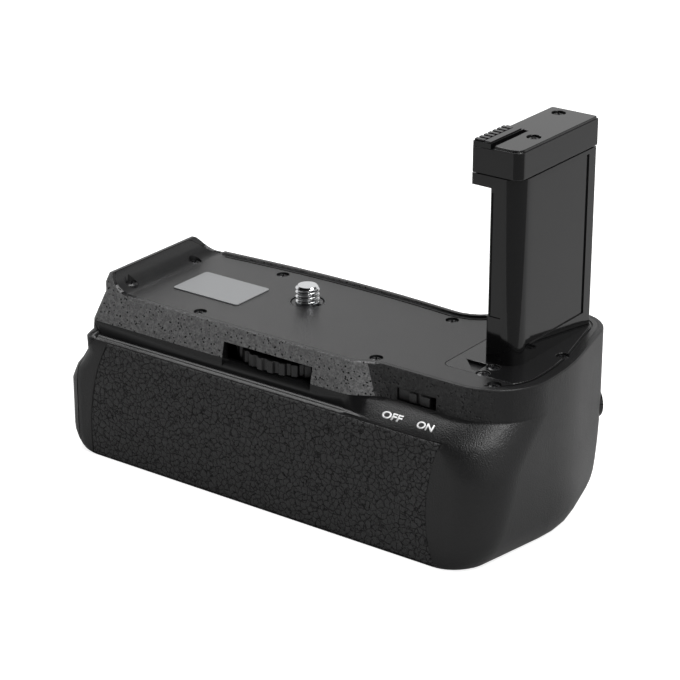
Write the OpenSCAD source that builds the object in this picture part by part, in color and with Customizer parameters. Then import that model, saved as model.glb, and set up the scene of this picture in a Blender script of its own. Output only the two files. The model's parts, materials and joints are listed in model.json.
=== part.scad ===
// Vertical battery grip for a small single-lens reflex camera.
// The origin is on the axis of the camera stud, at the level of the deck. +X runs to the hand-grip
// end with the pillar, +Y to the front of the camera and +Z up. The rear side is -Y.

/* [Housing] */
// Place of the hand-grip end
grip_end_x = 78.4; // [74:0.2:84]
// Place of the battery door end, at its widest
door_end_x = -59; // [-64:0.5:-57]
// Narrow neck above the door, from the door end
neck_end_x = 7.2; // [5:0.1:8.5]
// Top edge of the raised lip, from the door end
lip_top_x = 12; // [10:0.1:13]
// Where the lip's hollow curve meets the deck, from the door end
lip_foot_x = 19; // [17:0.1:21]
// Height of the lip above the deck
lip_h = 5; // [2:0.1:6]
// Rear face of the lower body
rear_y = -31; // [-34:0.1:-30]
// Rear edge of the deck
deck_rear_y = -25.5; // [-27:0.1:-25]
// Rear wall of the narrower stretch with the switch
step_rear_y = -22.6; // [-23.5:0.1:-22]
// How far the front of the lower body stands out past the ends of the deck's front edge
front_flare = 5; // [4:0.1:8]
// How far the deck's front edge bows out in the middle
front_bow = 2.6; // [0:0.1:3.5]
// How far the finger bulge reaches past the pillar
bulge_reach = 6.4; // [5:0.1:10]
// Left flank of the finger bulge
bulge_x = 49.5; // [47:0.2:54]
// Depth of the housing below the deck
body_h = 46.2; // [45:0.2:50]
// Depth of the rough upper wall below the deck
waist_depth = 8.4; // [8:0.1:9]
// Depth of the top edge of the grip skin below the deck
skin_depth = 12.2; // [11.8:0.1:13]
// Thickness of the housing's walls
wall = 2.4; // [2:0.1:3]
// Thickness of the housing's floor
floor_t = 2.2; // [2:0.05:2.3]
// Width of the rim round the deck plate
rim_w = 1.4; // [1:0.1:1.8]
// Thickness of the deck plate
deck_t = 2.2; // [1.8:0.1:2.6]
// Thickness of the grip skins
skin_t = 0.8; // [0.5:0.1:1.2]

/* [Stud drive] */
// Outside diameter of the camera stud's thread
stud_d = 6.35; // [6:0.05:6.5]
// Height of the stud above the deck
stud_h = 4.6; // [3.5:0.1:6]
// Module of the drive gears
gear_module = 0.7; // [0.66:0.01:0.74]
// Teeth on each drive gear
gear_teeth = 15; // [14:1:15]
// Place of the thumbwheel's axle along the housing
wheel_x = 7.3; // [6.5:0.1:8]
// How far the thumbwheel stands out of the rear wall
wheel_proud = 0.5; // [0.2:0.1:1.2]
// Thickness of the thumbwheel's rim
wheel_t = 3.2; // [2.6:0.1:3.4]
// Ribs round the thumbwheel
wheel_ribs = 36; // [24:1:48]
// Length of the thumbwheel's slot
slot_w = 28.3; // [24:0.1:30]
// Diameter of the thumbwheel's axle
axle_d = 3; // [2.4:0.1:3.4]

/* [Pillar] */
// Side of the pillar that faces the deck
pillar_x = 59.5; // [58:0.1:61]
// Thickness of the pillar
pillar_w = 8.5; // [7.5:0.1:9]
// Rear edge of the pillar
pillar_y = -5.8; // [-7:0.1:-5]
// Width of the pillar
pillar_d = 35.4; // [32:0.1:37]
// Height of the pillar below its cap
pillar_h = 48; // [40:0.5:52]
// How far the cap reaches over the deck
cap_reach = 5.2; // [3:0.1:6]
// Height of the cap
cap_h = 7.4; // [6:0.1:9]
// Thickness of the shelf under the cap
shelf_t = 2.9; // [2:0.1:4]

/* [Switch and shutter] */
// Left edge of the switch window
window_x = 44.7; // [43:0.1:46]
// Length of the switch window
window_w = 11.6; // [11:0.1:13]
// Height of the switch window
window_h = 3.4; // [3:0.1:3.8]
// Travel of the switch slider
switch_travel = 1.5; // [1:0.1:2]
// Diameter of the shutter button
shutter_d = 8.4; // [7:0.1:9]
// Travel of the shutter button
shutter_travel = 1; // [0.6:0.1:1.2]
// Depth of the shutter button's axis below the deck
shutter_depth = 22.7; // [20:0.1:25]
// Direction that the shutter button faces, from +X towards the front
shutter_angle = 56; // [50:1:65]

/* [Battery bays and door] */
// Width of a battery bay
bay_w = 38.4; // [36:0.1:39]
// Depth of a battery bay behind the door
bay_depth = 54; // [52:0.5:56]
// Thickness of the tray's walls
tray_wall = 0.9; // [0.8:0.05:0.95]
// Door seam on the lower body, from the door end
seam_x = 4.5; // [3.5:0.1:5]
// Corner of the door seam under the neck, from the door end
hook_x = 11.3; // [10.5:0.1:12]
// Radius of the door's hinge barrels
barrel_r = 1.8; // [1.5:0.1:2]
// Radius of the door's hinge pin
pin_r = 0.8; // [0.6:0.05:1]
// Travel of the door's latch
latch_travel = 2.4; // [2:0.1:2.5]

/* [Fits] */
// Gap between a turning piece and its bore
running_gap = 0.05; // [0.02:0.01:0.1]
// Gap between pieces that pass each other
moving_gap = 0.3; // [0.25:0.05:0.4]
// Gap round a plate set into a pocket
seat_gap = 0.05; // [0.02:0.01:0.1]

/* [Hidden] */
$fn = 48;
eps = 0.05;

shell_black = "#1b1b1c";
gloss_black = "#101012";
rubber_black = "#171718";
steel = "#c9ccd0";
brass = "#b99a52";
board_green = "#1d4a2c";
label_grey = "#8d8f92";
nickel = "#a9abad";

// Ties: the lip, neck and seam move with the door end
neck_at = door_end_x + neck_end_x;
lip_at = door_end_x + lip_top_x;
foot_at = door_end_x + lip_foot_x;
seam_at = door_end_x + seam_x;
hook_at = door_end_x + hook_x;
// The bays fill the lower body's height and set its depth, and the bulge follows the pillar
tray_rear_gap = 2.5;
tray_front_gap = 0.9;
tray_head_gap = 0.6;
bay_h = (body_h - skin_depth - tray_head_gap - floor_t - 3 * tray_wall) / 2;
bay_y = rear_y + wall + tray_rear_gap + tray_wall;
deck_front_y = bay_y + bay_w + tray_wall + tray_front_gap;
front_y = deck_front_y + front_flare;
bulge_y = pillar_y + pillar_d + bulge_reach;
base_z = -body_h;
waist_z = -waist_depth;
ledge_z = waist_z - 0.2;
neck_z = -skin_depth + 0.8;
skin_z = -skin_depth;
face_z = skin_z - 1.8;
flare_top_z = skin_z - 1.8;
flare_h = 12;
corner_z = skin_z - 7.8;
floor_z = base_z + floor_t;

// Rear wall profiles, as [height, place] pairs, left and right of the step
neck_rear_y = deck_rear_y - 2;
rear_left_wall = [[face_z, rear_y], [skin_z, rear_y + 0.6], [skin_z + 0.4, rear_y + 1.6],
    [neck_z, neck_rear_y - 0.2], [waist_z, neck_rear_y + 0.1], [0, deck_rear_y]];
rear_right_wall = [[face_z, rear_y], [skin_z, rear_y + 0.6], [ledge_z, step_rear_y - 3.1],
    [waist_z, step_rear_y - 0.2], [0, step_rear_y]];
grip_corner = [[base_z, 7.6], [corner_z, 12.4], [skin_z, 20], [ledge_z, 19], [waist_z, 16], [0, 16]];
rear_left_corner = [[face_z - 4, 6], [skin_z, 2.4], [0, 2.8]];
front_left_set = 8;
// Rounded lower edges of the walls, as [height, depth]
rear_edge = [0.8, 0.8];
left_edge = [7, 6];
front_edge = [4, 4];
end_edge = [7.3, 4.1];
bulge_edge = [27.7, 7.5];
heel_h = 30;
heel_in = 6.5;
step_x0 = 33;
step_x1 = 38;
step_set = 2;
step_flare = 2.5;
bow_x = 2;
bow_set = 30;
bow_foot = 0.4;
bow_peak = 1.6;
bulge_lean = 8.1;
bulge_side_y = 5;
bulge_foot_x = bulge_x - 6;
bulge_set = (bulge_y - front_y) / 2;
bulge_corner_set = 7.4;

function ease(u) = let(c = clamped(u)) c * c * (3 - 2 * c);
function unit(v) = v / norm(v);
function turn(a, b) = atan2(a.x * b.y - a.y * b.x, a * b);
function clamped(u) = min(1, max(0, u));
// How far an elliptical lower edge draws a wall in at height z
function fillet_in(z, edge) = let(u = clamped((base_z + edge[0] - z) / edge[0]))
    edge[1] * (1 - sqrt(1 - u * u));
function heel(z) = heel_in * pow(clamped((base_z + heel_h - z) / heel_h), 2);
function left_x(z) = z > waist_z
    ? lip_at + (neck_at - lip_at) * (lip_h - z) / (lip_h + waist_depth)
    : neck_at + (door_end_x - neck_at) * ease((flare_top_z - z) / flare_h) + fillet_in(z, left_edge);
function right_x(z) = grip_end_x - fillet_in(z, end_edge);
function flare(z) = ease((waist_z - z) / (waist_z - corner_z));
function front_wall_y(z) = deck_front_y + front_flare * flare(z) - fillet_in(z, front_edge);

// Plan outline as corners, anticlockwise from the rear left: [x, y, setback, steps]
function outline(z, xl) = let(xr = right_x(z), yb = bulge_y - fillet_in(z, bulge_edge),
        yf = front_wall_y(z), bow = front_bow * (1 - flare(z)),
        yl = lookup(z, rear_left_wall) + fillet_in(z, rear_edge),
        yr = lookup(z, rear_right_wall) + fillet_in(z, rear_edge)) [
    [xl, yl, lookup(z, rear_left_corner), 6], [step_x0, yl, step_set, 2],
    [step_x1 + step_flare * clamped(z / waist_z), yr, step_set, 2],
    [xr - heel(z), yr, lookup(z, grip_corner), 9], [xr, bulge_side_y, 8, 3],
    [xr - bulge_lean, yb, bulge_corner_set, 6], [bulge_x, yb, bulge_set, 6],
    [bulge_foot_x, yf + bow_foot * bow, bulge_set, 6], [bow_x, yf + bow_peak * bow, bow_set, 8],
    [xl, yf, front_left_set, 6]];
function corner_dirs(c, i) = let(n = len(c), p = c[(i + n - 1) % n], q = c[i], r = c[(i + 1) % n])
    [unit([q.x - p.x, q.y - p.y]), unit([r.x - q.x, r.y - q.y])];
function inset_corner(c, i, d) = let(e = corner_dirs(c, i), n0 = [-e[0].y, e[0].x], n1 = [-e[1].y, e[1].x],
        v = d * (n0 + n1) / (1 + n0 * n1))
    [c[i].x + v.x, c[i].y + v.y, max(0.3, c[i][2] - d * tan(turn(e[0], e[1]) / 2)), c[i][3]];
function inset(c, d) = [for (i = [0:len(c) - 1]) inset_corner(c, i, d)];
// A corner rounded by a circular arc, with its points spread evenly even where it runs straight
function round_corner(c, i) = let(e = corner_dirs(c, i), q = [c[i].x, c[i].y], t = c[i][2],
        w = cos(turn(e[0], e[1]) / 2), a = q - t * e[0], b = q + t * e[1])
    [for (s = [0:c[i][3]]) let(u = s / c[i][3], k = [(1 - u) * (1 - u), 2 * u * (1 - u) * w, u * u])
        (k[0] * a + k[1] * q + k[2] * b) / (k[0] + k[1] + k[2])];
function ring(c) = [for (i = [0:len(c) - 1]) each round_corner(c, i)];
function at_height(pts, z) = [for (p = pts) [p.x, p.y, z]];
function curve(a, b, c, n) = [for (s = [0:n]) let(u = s / n)
    (1 - u) * (1 - u) * a + 2 * u * (1 - u) * b + u * u * c];

// Solid through a stack of rings, from the top ring down, with fans from a hub point at both ends
module skin(rings, hub) {
    n = len(rings[0]);
    m = len(rings);
    last = (m - 1) * n;
    polyhedron(points = concat([for (r = rings) each r], [[hub.x, hub.y, rings[0][0].z],
            [hub.x, hub.y, rings[m - 1][0].z]]),
        faces = concat(
            [for (j = [0:m - 2], i = [0:n - 1]) let(k = (i + 1) % n) each
                [[j * n + i, j * n + k, (j + 1) * n + k], [j * n + i, (j + 1) * n + k, (j + 1) * n + i]]],
            [for (i = [0:n - 1]) [m * n, (i + 1) % n, i]],
            [for (i = [0:n - 1]) [m * n + 1, last + i, last + (i + 1) % n]]), convexity = 8);
}

// Housing outside and inside
hub = [bulge_x, 0];
left_edge_z = base_z + left_edge[0];
outer_levels = [-0.4, waist_z, ledge_z, neck_z, skin_z + 0.4, skin_z, face_z, face_z - 2.4, corner_z + 0.4,
    corner_z - 2, flare_top_z - flare_h, base_z + 15, base_z + 10, left_edge_z, base_z + 5, base_z + 3,
    base_z + 1.6, base_z + 0.7, base_z + 0.2, base_z];
cavity_levels = [skin_z - 0.3, skin_z - 3.4, corner_z - 2, flare_top_z - flare_h, left_edge_z + 8,
    left_edge_z, floor_z + 1.5, floor_z];

module housing_body() {
    skin(concat([at_height(ring(inset(outline(0, left_x(0)), 0.35)), 0)],
        [for (z = outer_levels) at_height(ring(outline(z, left_x(z))), z)]), hub);
}

module housing_cavity() {
    skin([at_height(ring(inset(outline(waist_z, left_x(0)), wall)), -deck_t + eps),
        at_height(ring(inset(outline(waist_z, hook_at), wall)), skin_z - 0.29),
        each [for (z = cavity_levels)
            at_height(ring(inset(outline(min(z, skin_z - 1), left_x(z)), wall)), z)]], hub);
}

// Deck plate's outline inside the rim and the lip's narrow top
lip_top_w = 0.9;
deck_corners = inset(outline(0, lip_at + lip_top_w - rim_w), rim_w);
module deck_shape(gap) {
    polygon(ring(inset(deck_corners, gap)));
}

// Raised lip over the door end, hollow towards the deck, with an S-shaped fall at the front
module lip() {
    run = foot_at - lip_at - lip_top_w;
    arc_r = (run * run + lip_h * lip_h) / (2 * lip_h);
    sweep = asin(run / arc_r);
    fall_y = deck_front_y - 5.5;
    lean = lip_h * (deck_rear_y - neck_rear_y) / waist_depth;
    intersection() {
        translate([0, deck_front_y + 5, 0]) rotate([90, 0, 0])
            linear_extrude(deck_front_y - deck_rear_y + 10) polygon(concat(
                [[foot_at, -1], [left_x(-1), -1], [lip_at, lip_h]],
                [for (s = [0:10]) let(a = sweep * (1 - s / 10))
                    [foot_at - arc_r * sin(a), arc_r - arc_r * cos(a)]]));
        translate([neck_at, 0, 0]) rotate([90, 0, 90]) linear_extrude(foot_at - neck_at)
            polygon(concat([[fall_y + 7, -1], [deck_rear_y - 0.3, -1], [deck_rear_y + lean, lip_h]],
                [for (s = [0:10]) [fall_y + 6 * s / 10, lip_h * (1 - ease(s / 10))]]));
        translate([0, 0, -1]) linear_extrude(lip_h + 1)
            polygon(ring(outline(-0.4, left_x(-0.4))));
    }
}

// Screws on the deck: [x, y, height of the seat]
screw_head_r = 1.6;
screw_head_h = 0.9;
screw_shank_r = 0.9;
screw_len = 5;
screw_sink = 0.3;
deck_seat_z = -screw_head_h - screw_sink;
deck_screw_at = [
    [foot_at - 3.7, -19.5, 0.3], [foot_at - 2.2, 5.1, -screw_head_h],
    [-18.1, deck_rear_y + rim_w + 2, deck_seat_z], [-17, deck_front_y - rim_w - 2, deck_seat_z],
    [36.4, step_rear_y + rim_w + 1.2, deck_seat_z], [37.8, deck_front_y - rim_w - 2, deck_seat_z],
    [69, -16.6, deck_seat_z], [grip_end_x - 5.4, 8.4, deck_seat_z]];
base_screw_at = [[pillar_x + 3.6, pillar_y - 6.8], [pillar_x + 3.8, pillar_y - 2.2]];
boss_r = 2.4;

module deck_screw_holes() {
    for (p = concat(deck_screw_at, [for (q = base_screw_at) [q.x, q.y, -screw_head_h]])) translate(p) {
        cylinder(r = screw_head_r + 0.15, h = 8);
        translate([0, 0, -screw_len - 1]) cylinder(r = screw_shank_r, h = screw_len + 2);
    }
}

module screw(length) {
    difference() {
        cylinder(r = screw_head_r, h = screw_head_h);
        for (a = [0, 90]) rotate(a) translate([-1, -0.2, 0.4]) cube([2, 0.4, 1]);
    }
    translate([0, 0, -length]) cylinder(r = screw_shank_r, h = length);
}

// Thumbwheel and stud gears
gear_r = gear_module * gear_teeth / 2;
wheel_y = -sqrt(pow(2 * gear_r, 2) - pow(wheel_x, 2));
slot_x = wheel_x - slot_w / 2;
slot_top_z = -4.2;
wheel_top_z = -5.6;
wheel_base_z = wheel_top_z - wheel_t;
wheel_r = -lookup(wheel_top_z, rear_left_wall) + wheel_proud + wheel_y;
web_t = 1.2;
gear_top_z = -deck_t - 0.3;
gear_base_z = wheel_base_z + web_t + 1.2;
post_x = wheel_r + boss_r + 0.7;
bracket_t = 1.5;
bracket_w = 8;
bracket_z = wheel_base_z - 0.2 - bracket_t;
backlash = 0.12;
pressure = 20;

function involute_angle(r, base_r) = let(k = acos(min(1, base_r / r))) tan(k) * 180 / PI - k;
// Outline of a gear with involute flanks, one tooth on +X
function gear_outline(teeth, mod) = let(rp = mod * teeth / 2, rb = rp * cos(pressure), rt = rp + 0.9 * mod,
        rr = rp - 1.2 * mod, half = 90 / teeth - backlash / rp * 90 / PI + involute_angle(rp, rb),
        flank = [for (s = [0:3]) let(r = rb + (rt - rb) * s / 3) [r, half - involute_angle(r, rb)]])
    [for (t = [0:teeth - 1]) let(a = 360 * t / teeth) each concat(
        [[rr * cos(a - half), rr * sin(a - half)]],
        [for (f = flank) [f[0] * cos(a - f[1]), f[0] * sin(a - f[1])]],
        [for (s = [3:-1:0]) let(f = flank[s]) [f[0] * cos(a + f[1]), f[0] * sin(a + f[1])]],
        [[rr * cos(a + half), rr * sin(a + half)]])];
mesh_angle = atan2(wheel_y, wheel_x);
half_tooth = 180 / gear_teeth;

// Switch window
window_top_z = -4.9;

// Shutter button on the bulge's rounded corner, with its cup's rim sunk in the curve
side_dir = unit([-bulge_lean, bulge_y - bulge_side_y]);
corner_r = bulge_corner_set / tan(turn(side_dir, [-1, 0]) / 2);
corner_at = [grip_end_x - bulge_lean, bulge_y] - bulge_corner_set * side_dir
    - corner_r * [side_dir.y, -side_dir.x];
rim_in = 1.9;
shutter_x = corner_at.x + (corner_r - rim_in) * cos(shutter_angle);
shutter_y = corner_at.y + (corner_r - rim_in) * sin(shutter_angle);
shutter_r = shutter_d / 2;
land_in = 4.2;
land_t = 1.7;
cup_r = shutter_r + 1.4;
module on_shutter_axis() {
    translate([shutter_x, shutter_y, -shutter_depth]) rotate([0, 90, shutter_angle]) children();
}

// Battery bays, stacked behind the door
bay_mouth_x = hook_at - 1.5;
bay_z = [floor_z + tray_wall, floor_z + 2 * tray_wall + bay_h];
tray_x = hook_at + 1.9;
bay_end_x = bay_mouth_x + bay_depth;
tray_top_z = bay_z[1] + bay_h + tray_wall;
tray_end_t = 1.5;
board_x = bay_end_x + tray_end_t + 2;
board_t = 1.6;
blade_t = 0.5;
blade_y = [8, 12, 16];
blade_in = 3.5;
blade_slot_in = 3;
blade_hook = 0.6;

// Door outline seen from the rear: everything left of the seam, moved out by gap
door_top_z = waist_z - 0.9;
hook_z = skin_z + 0.1;
seam_end_z = skin_z - 10;
hinge_x = door_end_x + 3;
hinge_y = front_y - 2.5;
door_front_y = hinge_y - barrel_r + 0.1;
door_wall = 4.8;
door_skin = 2.2;
door_rim = 1.3;
barrels = [[-27, 5], [-40, 5]];
housing_barrel = [-34.7, 7.4];
relief_r = barrel_r + 0.35;

module door_region(gap, front) {
    translate([0, front, 0]) rotate([90, 0, 0]) linear_extrude(front - rear_y + 10)
        polygon(concat([[door_end_x - 20, door_top_z + gap], [hook_at - 2.8, door_top_z + gap]],
            curve([hook_at + gap, hook_z + gap / 2], [seam_at + 2.6 + gap, hook_z - 3],
                [seam_at + gap, seam_end_z], 6),
            [[seam_at + gap, base_z - 5], [door_end_x - 20, base_z - 5]]));
}

// Latch: a thumb plate outside, a stem through the door and a toe that slides into the rear wall
latch_z = -30;
latch_y = -19.5;
latch_w = 9;
latch_h = 11.4;
latch_recess = 1.4;
stem_w = 3;
stem_h = 4;
stem_y = latch_y + latch_w / 2 - stem_w / 2;
arm_x = door_end_x + door_wall + moving_gap;
arm_t = 1;
arm_h = 5;
bar_y = rear_y + wall + latch_travel + 1.1;
bar_t = 1.3;
toe_x = arm_x + 1.1;
toe_w = 1.2;
toe_y = rear_y + wall + 1.6;

// Tripod socket in the base
socket_r = 5;
socket_boss_r = socket_r + 2;
socket_gap = 1.1;
socket_x = board_x + board_t + socket_gap + socket_boss_r;
socket_y = -5;
socket_h = 8;

// Housing
module main_shell() color(shell_black) difference() {
    union() {
        difference() {
            union() {
                housing_body();
                lip();
            }
            housing_cavity();
            translate([0, 0, -deck_t]) linear_extrude(deck_t + lip_h + 1) deck_shape(0);
            door_region(moving_gap, door_front_y + moving_gap);
            translate([hinge_x, hinge_y, base_z - 1]) cylinder(r = relief_r, h = body_h + waist_z);
            translate([door_end_x - 1, door_front_y, base_z - 1])
                cube([hinge_x - door_end_x + 1, hinge_y - door_front_y, body_h + waist_z]);
        }
        for (p = deck_screw_at) screw_boss(p);
        front_rim();
        translate([hinge_x, hinge_y, housing_barrel[0]]) {
            cylinder(r = barrel_r, h = housing_barrel[1]);
            translate([0, -0.5, 0])
                cube([relief_r + wall, front_y - wall / 2 - hinge_y + 0.5, housing_barrel[1]]);
        }
        translate([socket_x, socket_y, floor_z - eps])
            cylinder(r = socket_boss_r, h = socket_h - floor_t + 1);
        shutter_pad();
    }
    deck_screw_holes();
    wheel_slot();
    translate([window_x, rear_y, window_top_z - window_h])
        cube([window_w, -rear_y + step_rear_y + wall + 1, window_h]);
    translate([0, rear_y + skin_t, 0]) rotate([90, 0, 0])
        linear_extrude(skin_t + 5) rear_skin_shape(seat_gap);
    translate([hinge_x, hinge_y, housing_barrel[0] - 1]) cylinder(r = pin_r, h = housing_barrel[1] + 2);
    on_shutter_axis() {
        translate([0, 0, -12]) cylinder(r = cup_r, h = 20);
        translate([0, 0, -land_in - 3]) cylinder(r = cup_r + 1.5, h = 3);
    }
    translate([socket_x, socket_y, base_z - 1]) cylinder(r = socket_r, h = socket_h + 1);
    latch_keeper();
    for (z = bay_z) translate([door_end_x, bay_y, z]) cube([tray_x - door_end_x + 1, bay_w, bay_h]);
}

// Raised bead of the rim along the deck's front edge
rim_h = 0.5;
module front_rim() {
    c = outline(0, left_x(0));
    linear_extrude(rim_h) intersection() {
        difference() {
            polygon(ring(inset(c, 0.35)));
            deck_shape(0);
        }
        translate([foot_at, 0]) square([bulge_foot_x + 2 - foot_at, bulge_y]);
    }
}

// Screw boss that hangs on the nearest wall under the deck
module screw_boss(p) {
    translate([p.x, p.y, waist_z]) cylinder(r = boss_r, h = waist_depth - deck_t);
    if (p.x > grip_end_x - 8) translate([p.x, p.y - boss_r, waist_z])
        cube([grip_end_x - wall / 2 - p.x, 2 * boss_r, waist_depth - deck_t]);
    if (p.y < 0 && p.x < step_x0) translate([p.x - boss_r, deck_rear_y, waist_z])
        cube([2 * boss_r, p.y - deck_rear_y, waist_depth - deck_t]);
    if (p.x < foot_at) translate([neck_at + wall, p.y - boss_r, waist_z])
        cube([p.x - neck_at - wall, 2 * boss_r, waist_depth - deck_t]);
    if (p.y > 0 && p.x > foot_at && p.x < bulge_foot_x) translate([p.x - boss_r, p.y, waist_z])
        cube([2 * boss_r, deck_front_y + wall / 2 - p.y, waist_depth - deck_t]);
}

// Flat land inside the wall that the shutter cup's flange sits on
module shutter_pad() {
    on_shutter_axis() translate([0, 0, -land_in]) cylinder(r = cup_r + 1.5, h = land_t);
}

// Thumbwheel's slot, with a sill that falls outwards to the neck
module wheel_slot() {
    inner_y = deck_rear_y + wall + 2;
    translate([slot_x, 0, 0]) rotate([90, 0, 90]) linear_extrude(slot_w)
        polygon([[inner_y, slot_top_z], [rear_y, slot_top_z], [rear_y, neck_z], [neck_rear_y - 0.8, neck_z],
            [neck_rear_y + 1.4, wheel_base_z - moving_gap], [inner_y, wheel_base_z - moving_gap]]);
}

// Slot inside the rear wall for the latch's toe
module latch_keeper() {
    translate([toe_x - moving_gap, toe_y - latch_travel - moving_gap, latch_z - arm_h / 2 - moving_gap])
        cube([toe_w + 2 * moving_gap, latch_travel + 1, arm_h + 2 * moving_gap]);
}

// Grip skins
rear_skin_end = 15.7;
front_skin_end = 15;
front_skin_foot = 5;
module rear_skin_shape(gap) {
    top_z = skin_z - 0.3 + gap;
    foot_z = base_z + 0.6 - gap;
    mid_z = (top_z + foot_z) / 2;
    end_x = grip_end_x - rear_skin_end + gap;
    start_x = lip_at - gap;
    polygon(concat(
        curve([start_x + 4, top_z], [start_x - 4, mid_z + 3], [start_x - 2.5, foot_z], 8),
        curve([end_x - 0.7, foot_z], [end_x - 6.7, mid_z - 4], [end_x, top_z], 8)));
}

module rear_grip_skin() color(rubber_black)
    translate([0, rear_y + skin_t, 0]) rotate([90, 0, 0]) linear_extrude(skin_t) rear_skin_shape(0);

// Skin over the bulge's front, which follows its curve
module front_grip_skin() color(rubber_black) {
    skin_levels = [for (z = outer_levels) if (z < corner_z + 1) z];
    skin_x = bulge_foot_x - 1;
    window = [grip_end_x - front_skin_end - skin_x, corner_z - 1 - base_z - front_skin_foot];
    intersection() {
        difference() {
            skin([for (z = skin_levels) at_height(ring(inset(outline(z, left_x(z)), -skin_t)), z)], hub);
            housing_body();
        }
        translate([skin_x, bulge_y + 5, base_z + front_skin_foot]) rotate([90, 0, 0])
            linear_extrude(bulge_y + 1 - front_y) rounded(window, 3);
    }
}

// Deck
module deck_plate() color(shell_black) difference() {
    union() {
        translate([0, 0, -deck_t]) linear_extrude(deck_t) deck_shape(seat_gap);
        intersection() {
            lip();
            translate([0, 0, -deck_t]) linear_extrude(deck_t + lip_h + 1) deck_shape(seat_gap);
        }
        for (s = [-1, 1]) translate([wheel_x + s * post_x, wheel_y, bracket_z + bracket_t])
            cylinder(r = boss_r, h = -deck_t - bracket_z - bracket_t + eps);
    }
    deck_groove();
    deck_screw_holes();
    translate([0, 0, -deck_t - 1]) cylinder(r = bush_r, h = deck_t + 2);
    translate([wheel_x, wheel_y, -deck_t - 1]) cylinder(d = axle_d, h = deck_t);
    for (s = [-1, 1]) translate([wheel_x + s * post_x, wheel_y, bracket_z])
        cylinder(r = screw_shank_r, h = bracket_t + screw_len);
    pillar_tenon(seat_gap, -deck_t - 1, 1);
    translate([0, 0, -plate_t]) linear_extrude(plate_t + 1) base_shape(0);
    base_recess();
}

// Fine groove that runs inside the deck's edge along the front and the grip end
groove_in = 1.3;
groove_w = 0.5;
groove_depth = 0.4;
module deck_groove() {
    translate([0, 0, -groove_depth]) linear_extrude(groove_depth + 1) difference() {
        polygon(ring(inset(deck_corners, groove_in)));
        polygon(ring(inset(deck_corners, groove_in + groove_w)));
        translate([foot_at - 10, deck_rear_y - 10])
            square([grip_end_x - foot_at - 1, deck_front_y - deck_rear_y + 2]);
        translate([foot_at - 10, 0]) square([12, bulge_y]);
    }
}

label_gap = 5.4;
label_x = foot_at + label_gap;
label_y = -13.5;
label_w = 21.7;
label_d = 14.2;
label_t = 0.25;
module label_plate() color(label_grey) translate([label_x, label_y, 0]) linear_extrude(label_t)
    rounded([label_w, label_d], 0.8);

module rounded(size, r) {
    corner_rounded(size, r, r);
}

// Rectangle whose corner at +X and the rear has a radius of its own
module corner_rounded(size, r, rear_end_r) {
    polygon(ring([[0, 0, r, 4], [size.x, 0, rear_end_r, 6], [size.x, size.y, r, 4], [0, size.y, r, 4]]));
}

module deck_screws() color(gloss_black) {
    for (p = deck_screw_at) translate(p) screw(screw_len);
    for (q = base_screw_at) translate([q.x, q.y, -screw_head_h]) screw(screw_len);
}

// Stud and its drive
bush_r = 5;
clip_r = 4.2;
clip_t = 0.6;
clip_sink = 0.9;
stud_r = stud_d / 2;
journal_r = stud_r - 0.175;
stud_tip = 0.6;
module camera_stud() color(steel) {
    translate([0, 0, gear_base_z]) linear_extrude(gear_top_z - gear_base_z)
        rotate(mesh_angle + half_tooth) polygon(gear_outline(gear_teeth, gear_module));
    translate([0, 0, gear_base_z]) cylinder(r = journal_r, h = -gear_base_z);
    cylinder(r = stud_r, h = stud_h - stud_tip);
    translate([0, 0, stud_h - stud_tip]) cylinder(r1 = stud_r, r2 = stud_r - stud_tip, h = stud_tip);
}

module stud_clip() color(gloss_black) translate([0, 0, -clip_sink + 0.1]) difference() {
    cylinder(r = clip_r, h = clip_t);
    translate([0, 0, -1]) cylinder(r = journal_r, h = clip_t + 2);
    translate([0, -0.7, -1]) cube([clip_r + 1, 1.4, clip_t + 2]);
}

module stud_bush() color(brass) translate([0, 0, -deck_t]) difference() {
    cylinder(r = bush_r, h = deck_t);
    translate([0, 0, -1]) cylinder(r = journal_r + running_gap, h = deck_t + 2);
    translate([0, 0, deck_t - clip_sink]) cylinder(r = clip_r + moving_gap, h = clip_sink + 1);
}

rib_depth = 0.7;
module thumbwheel() color(shell_black) translate([wheel_x, wheel_y, 0]) difference() {
    union() {
        translate([0, 0, wheel_base_z]) linear_extrude(wheel_t) difference() {
            polygon([for (i = [0:wheel_ribs - 1], s = [[0, 0], [0.12, 1], [0.58, 1], [0.7, 0]])
                let(a = 360 * (i + s[0]) / wheel_ribs, r = wheel_r - rib_depth * (1 - s[1]))
                    [r * cos(a), r * sin(a)]]);
            circle(r = 2 * gear_r + gear_r + gear_module * 0.9 + 0.8);
        }
        translate([0, 0, wheel_base_z]) cylinder(r = wheel_r - rib_depth - 0.5, h = web_t);
        translate([0, 0, wheel_base_z])
            cylinder(r = gear_r - 1.2 * gear_module, h = gear_top_z - wheel_base_z);
        translate([0, 0, gear_base_z]) linear_extrude(gear_top_z - gear_base_z)
            rotate(mesh_angle + 180) polygon(gear_outline(gear_teeth, gear_module));
    }
    translate([0, 0, wheel_base_z - 1]) cylinder(d = axle_d + 2 * running_gap, h = 20);
}

module wheel_axle() color(steel) translate([wheel_x, wheel_y, bracket_z])
    cylinder(d = axle_d, h = -1 - bracket_z);

module wheel_bracket() color(nickel) translate([wheel_x, wheel_y, bracket_z]) difference() {
    linear_extrude(bracket_t) difference() {
        translate([-post_x - bracket_w / 2, -bracket_w / 2])
            rounded([2 * post_x + bracket_w, bracket_w], bracket_w / 2);
        for (s = [-1, 1]) translate([s * post_x / 2, 0]) circle(r = 2.2);
    }
    translate([0, 0, -1]) cylinder(d = axle_d, h = bracket_t + 2);
    for (s = [-1, 1]) translate([s * post_x, 0, -1]) cylinder(r = screw_shank_r, h = bracket_t + 2);
}

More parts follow.
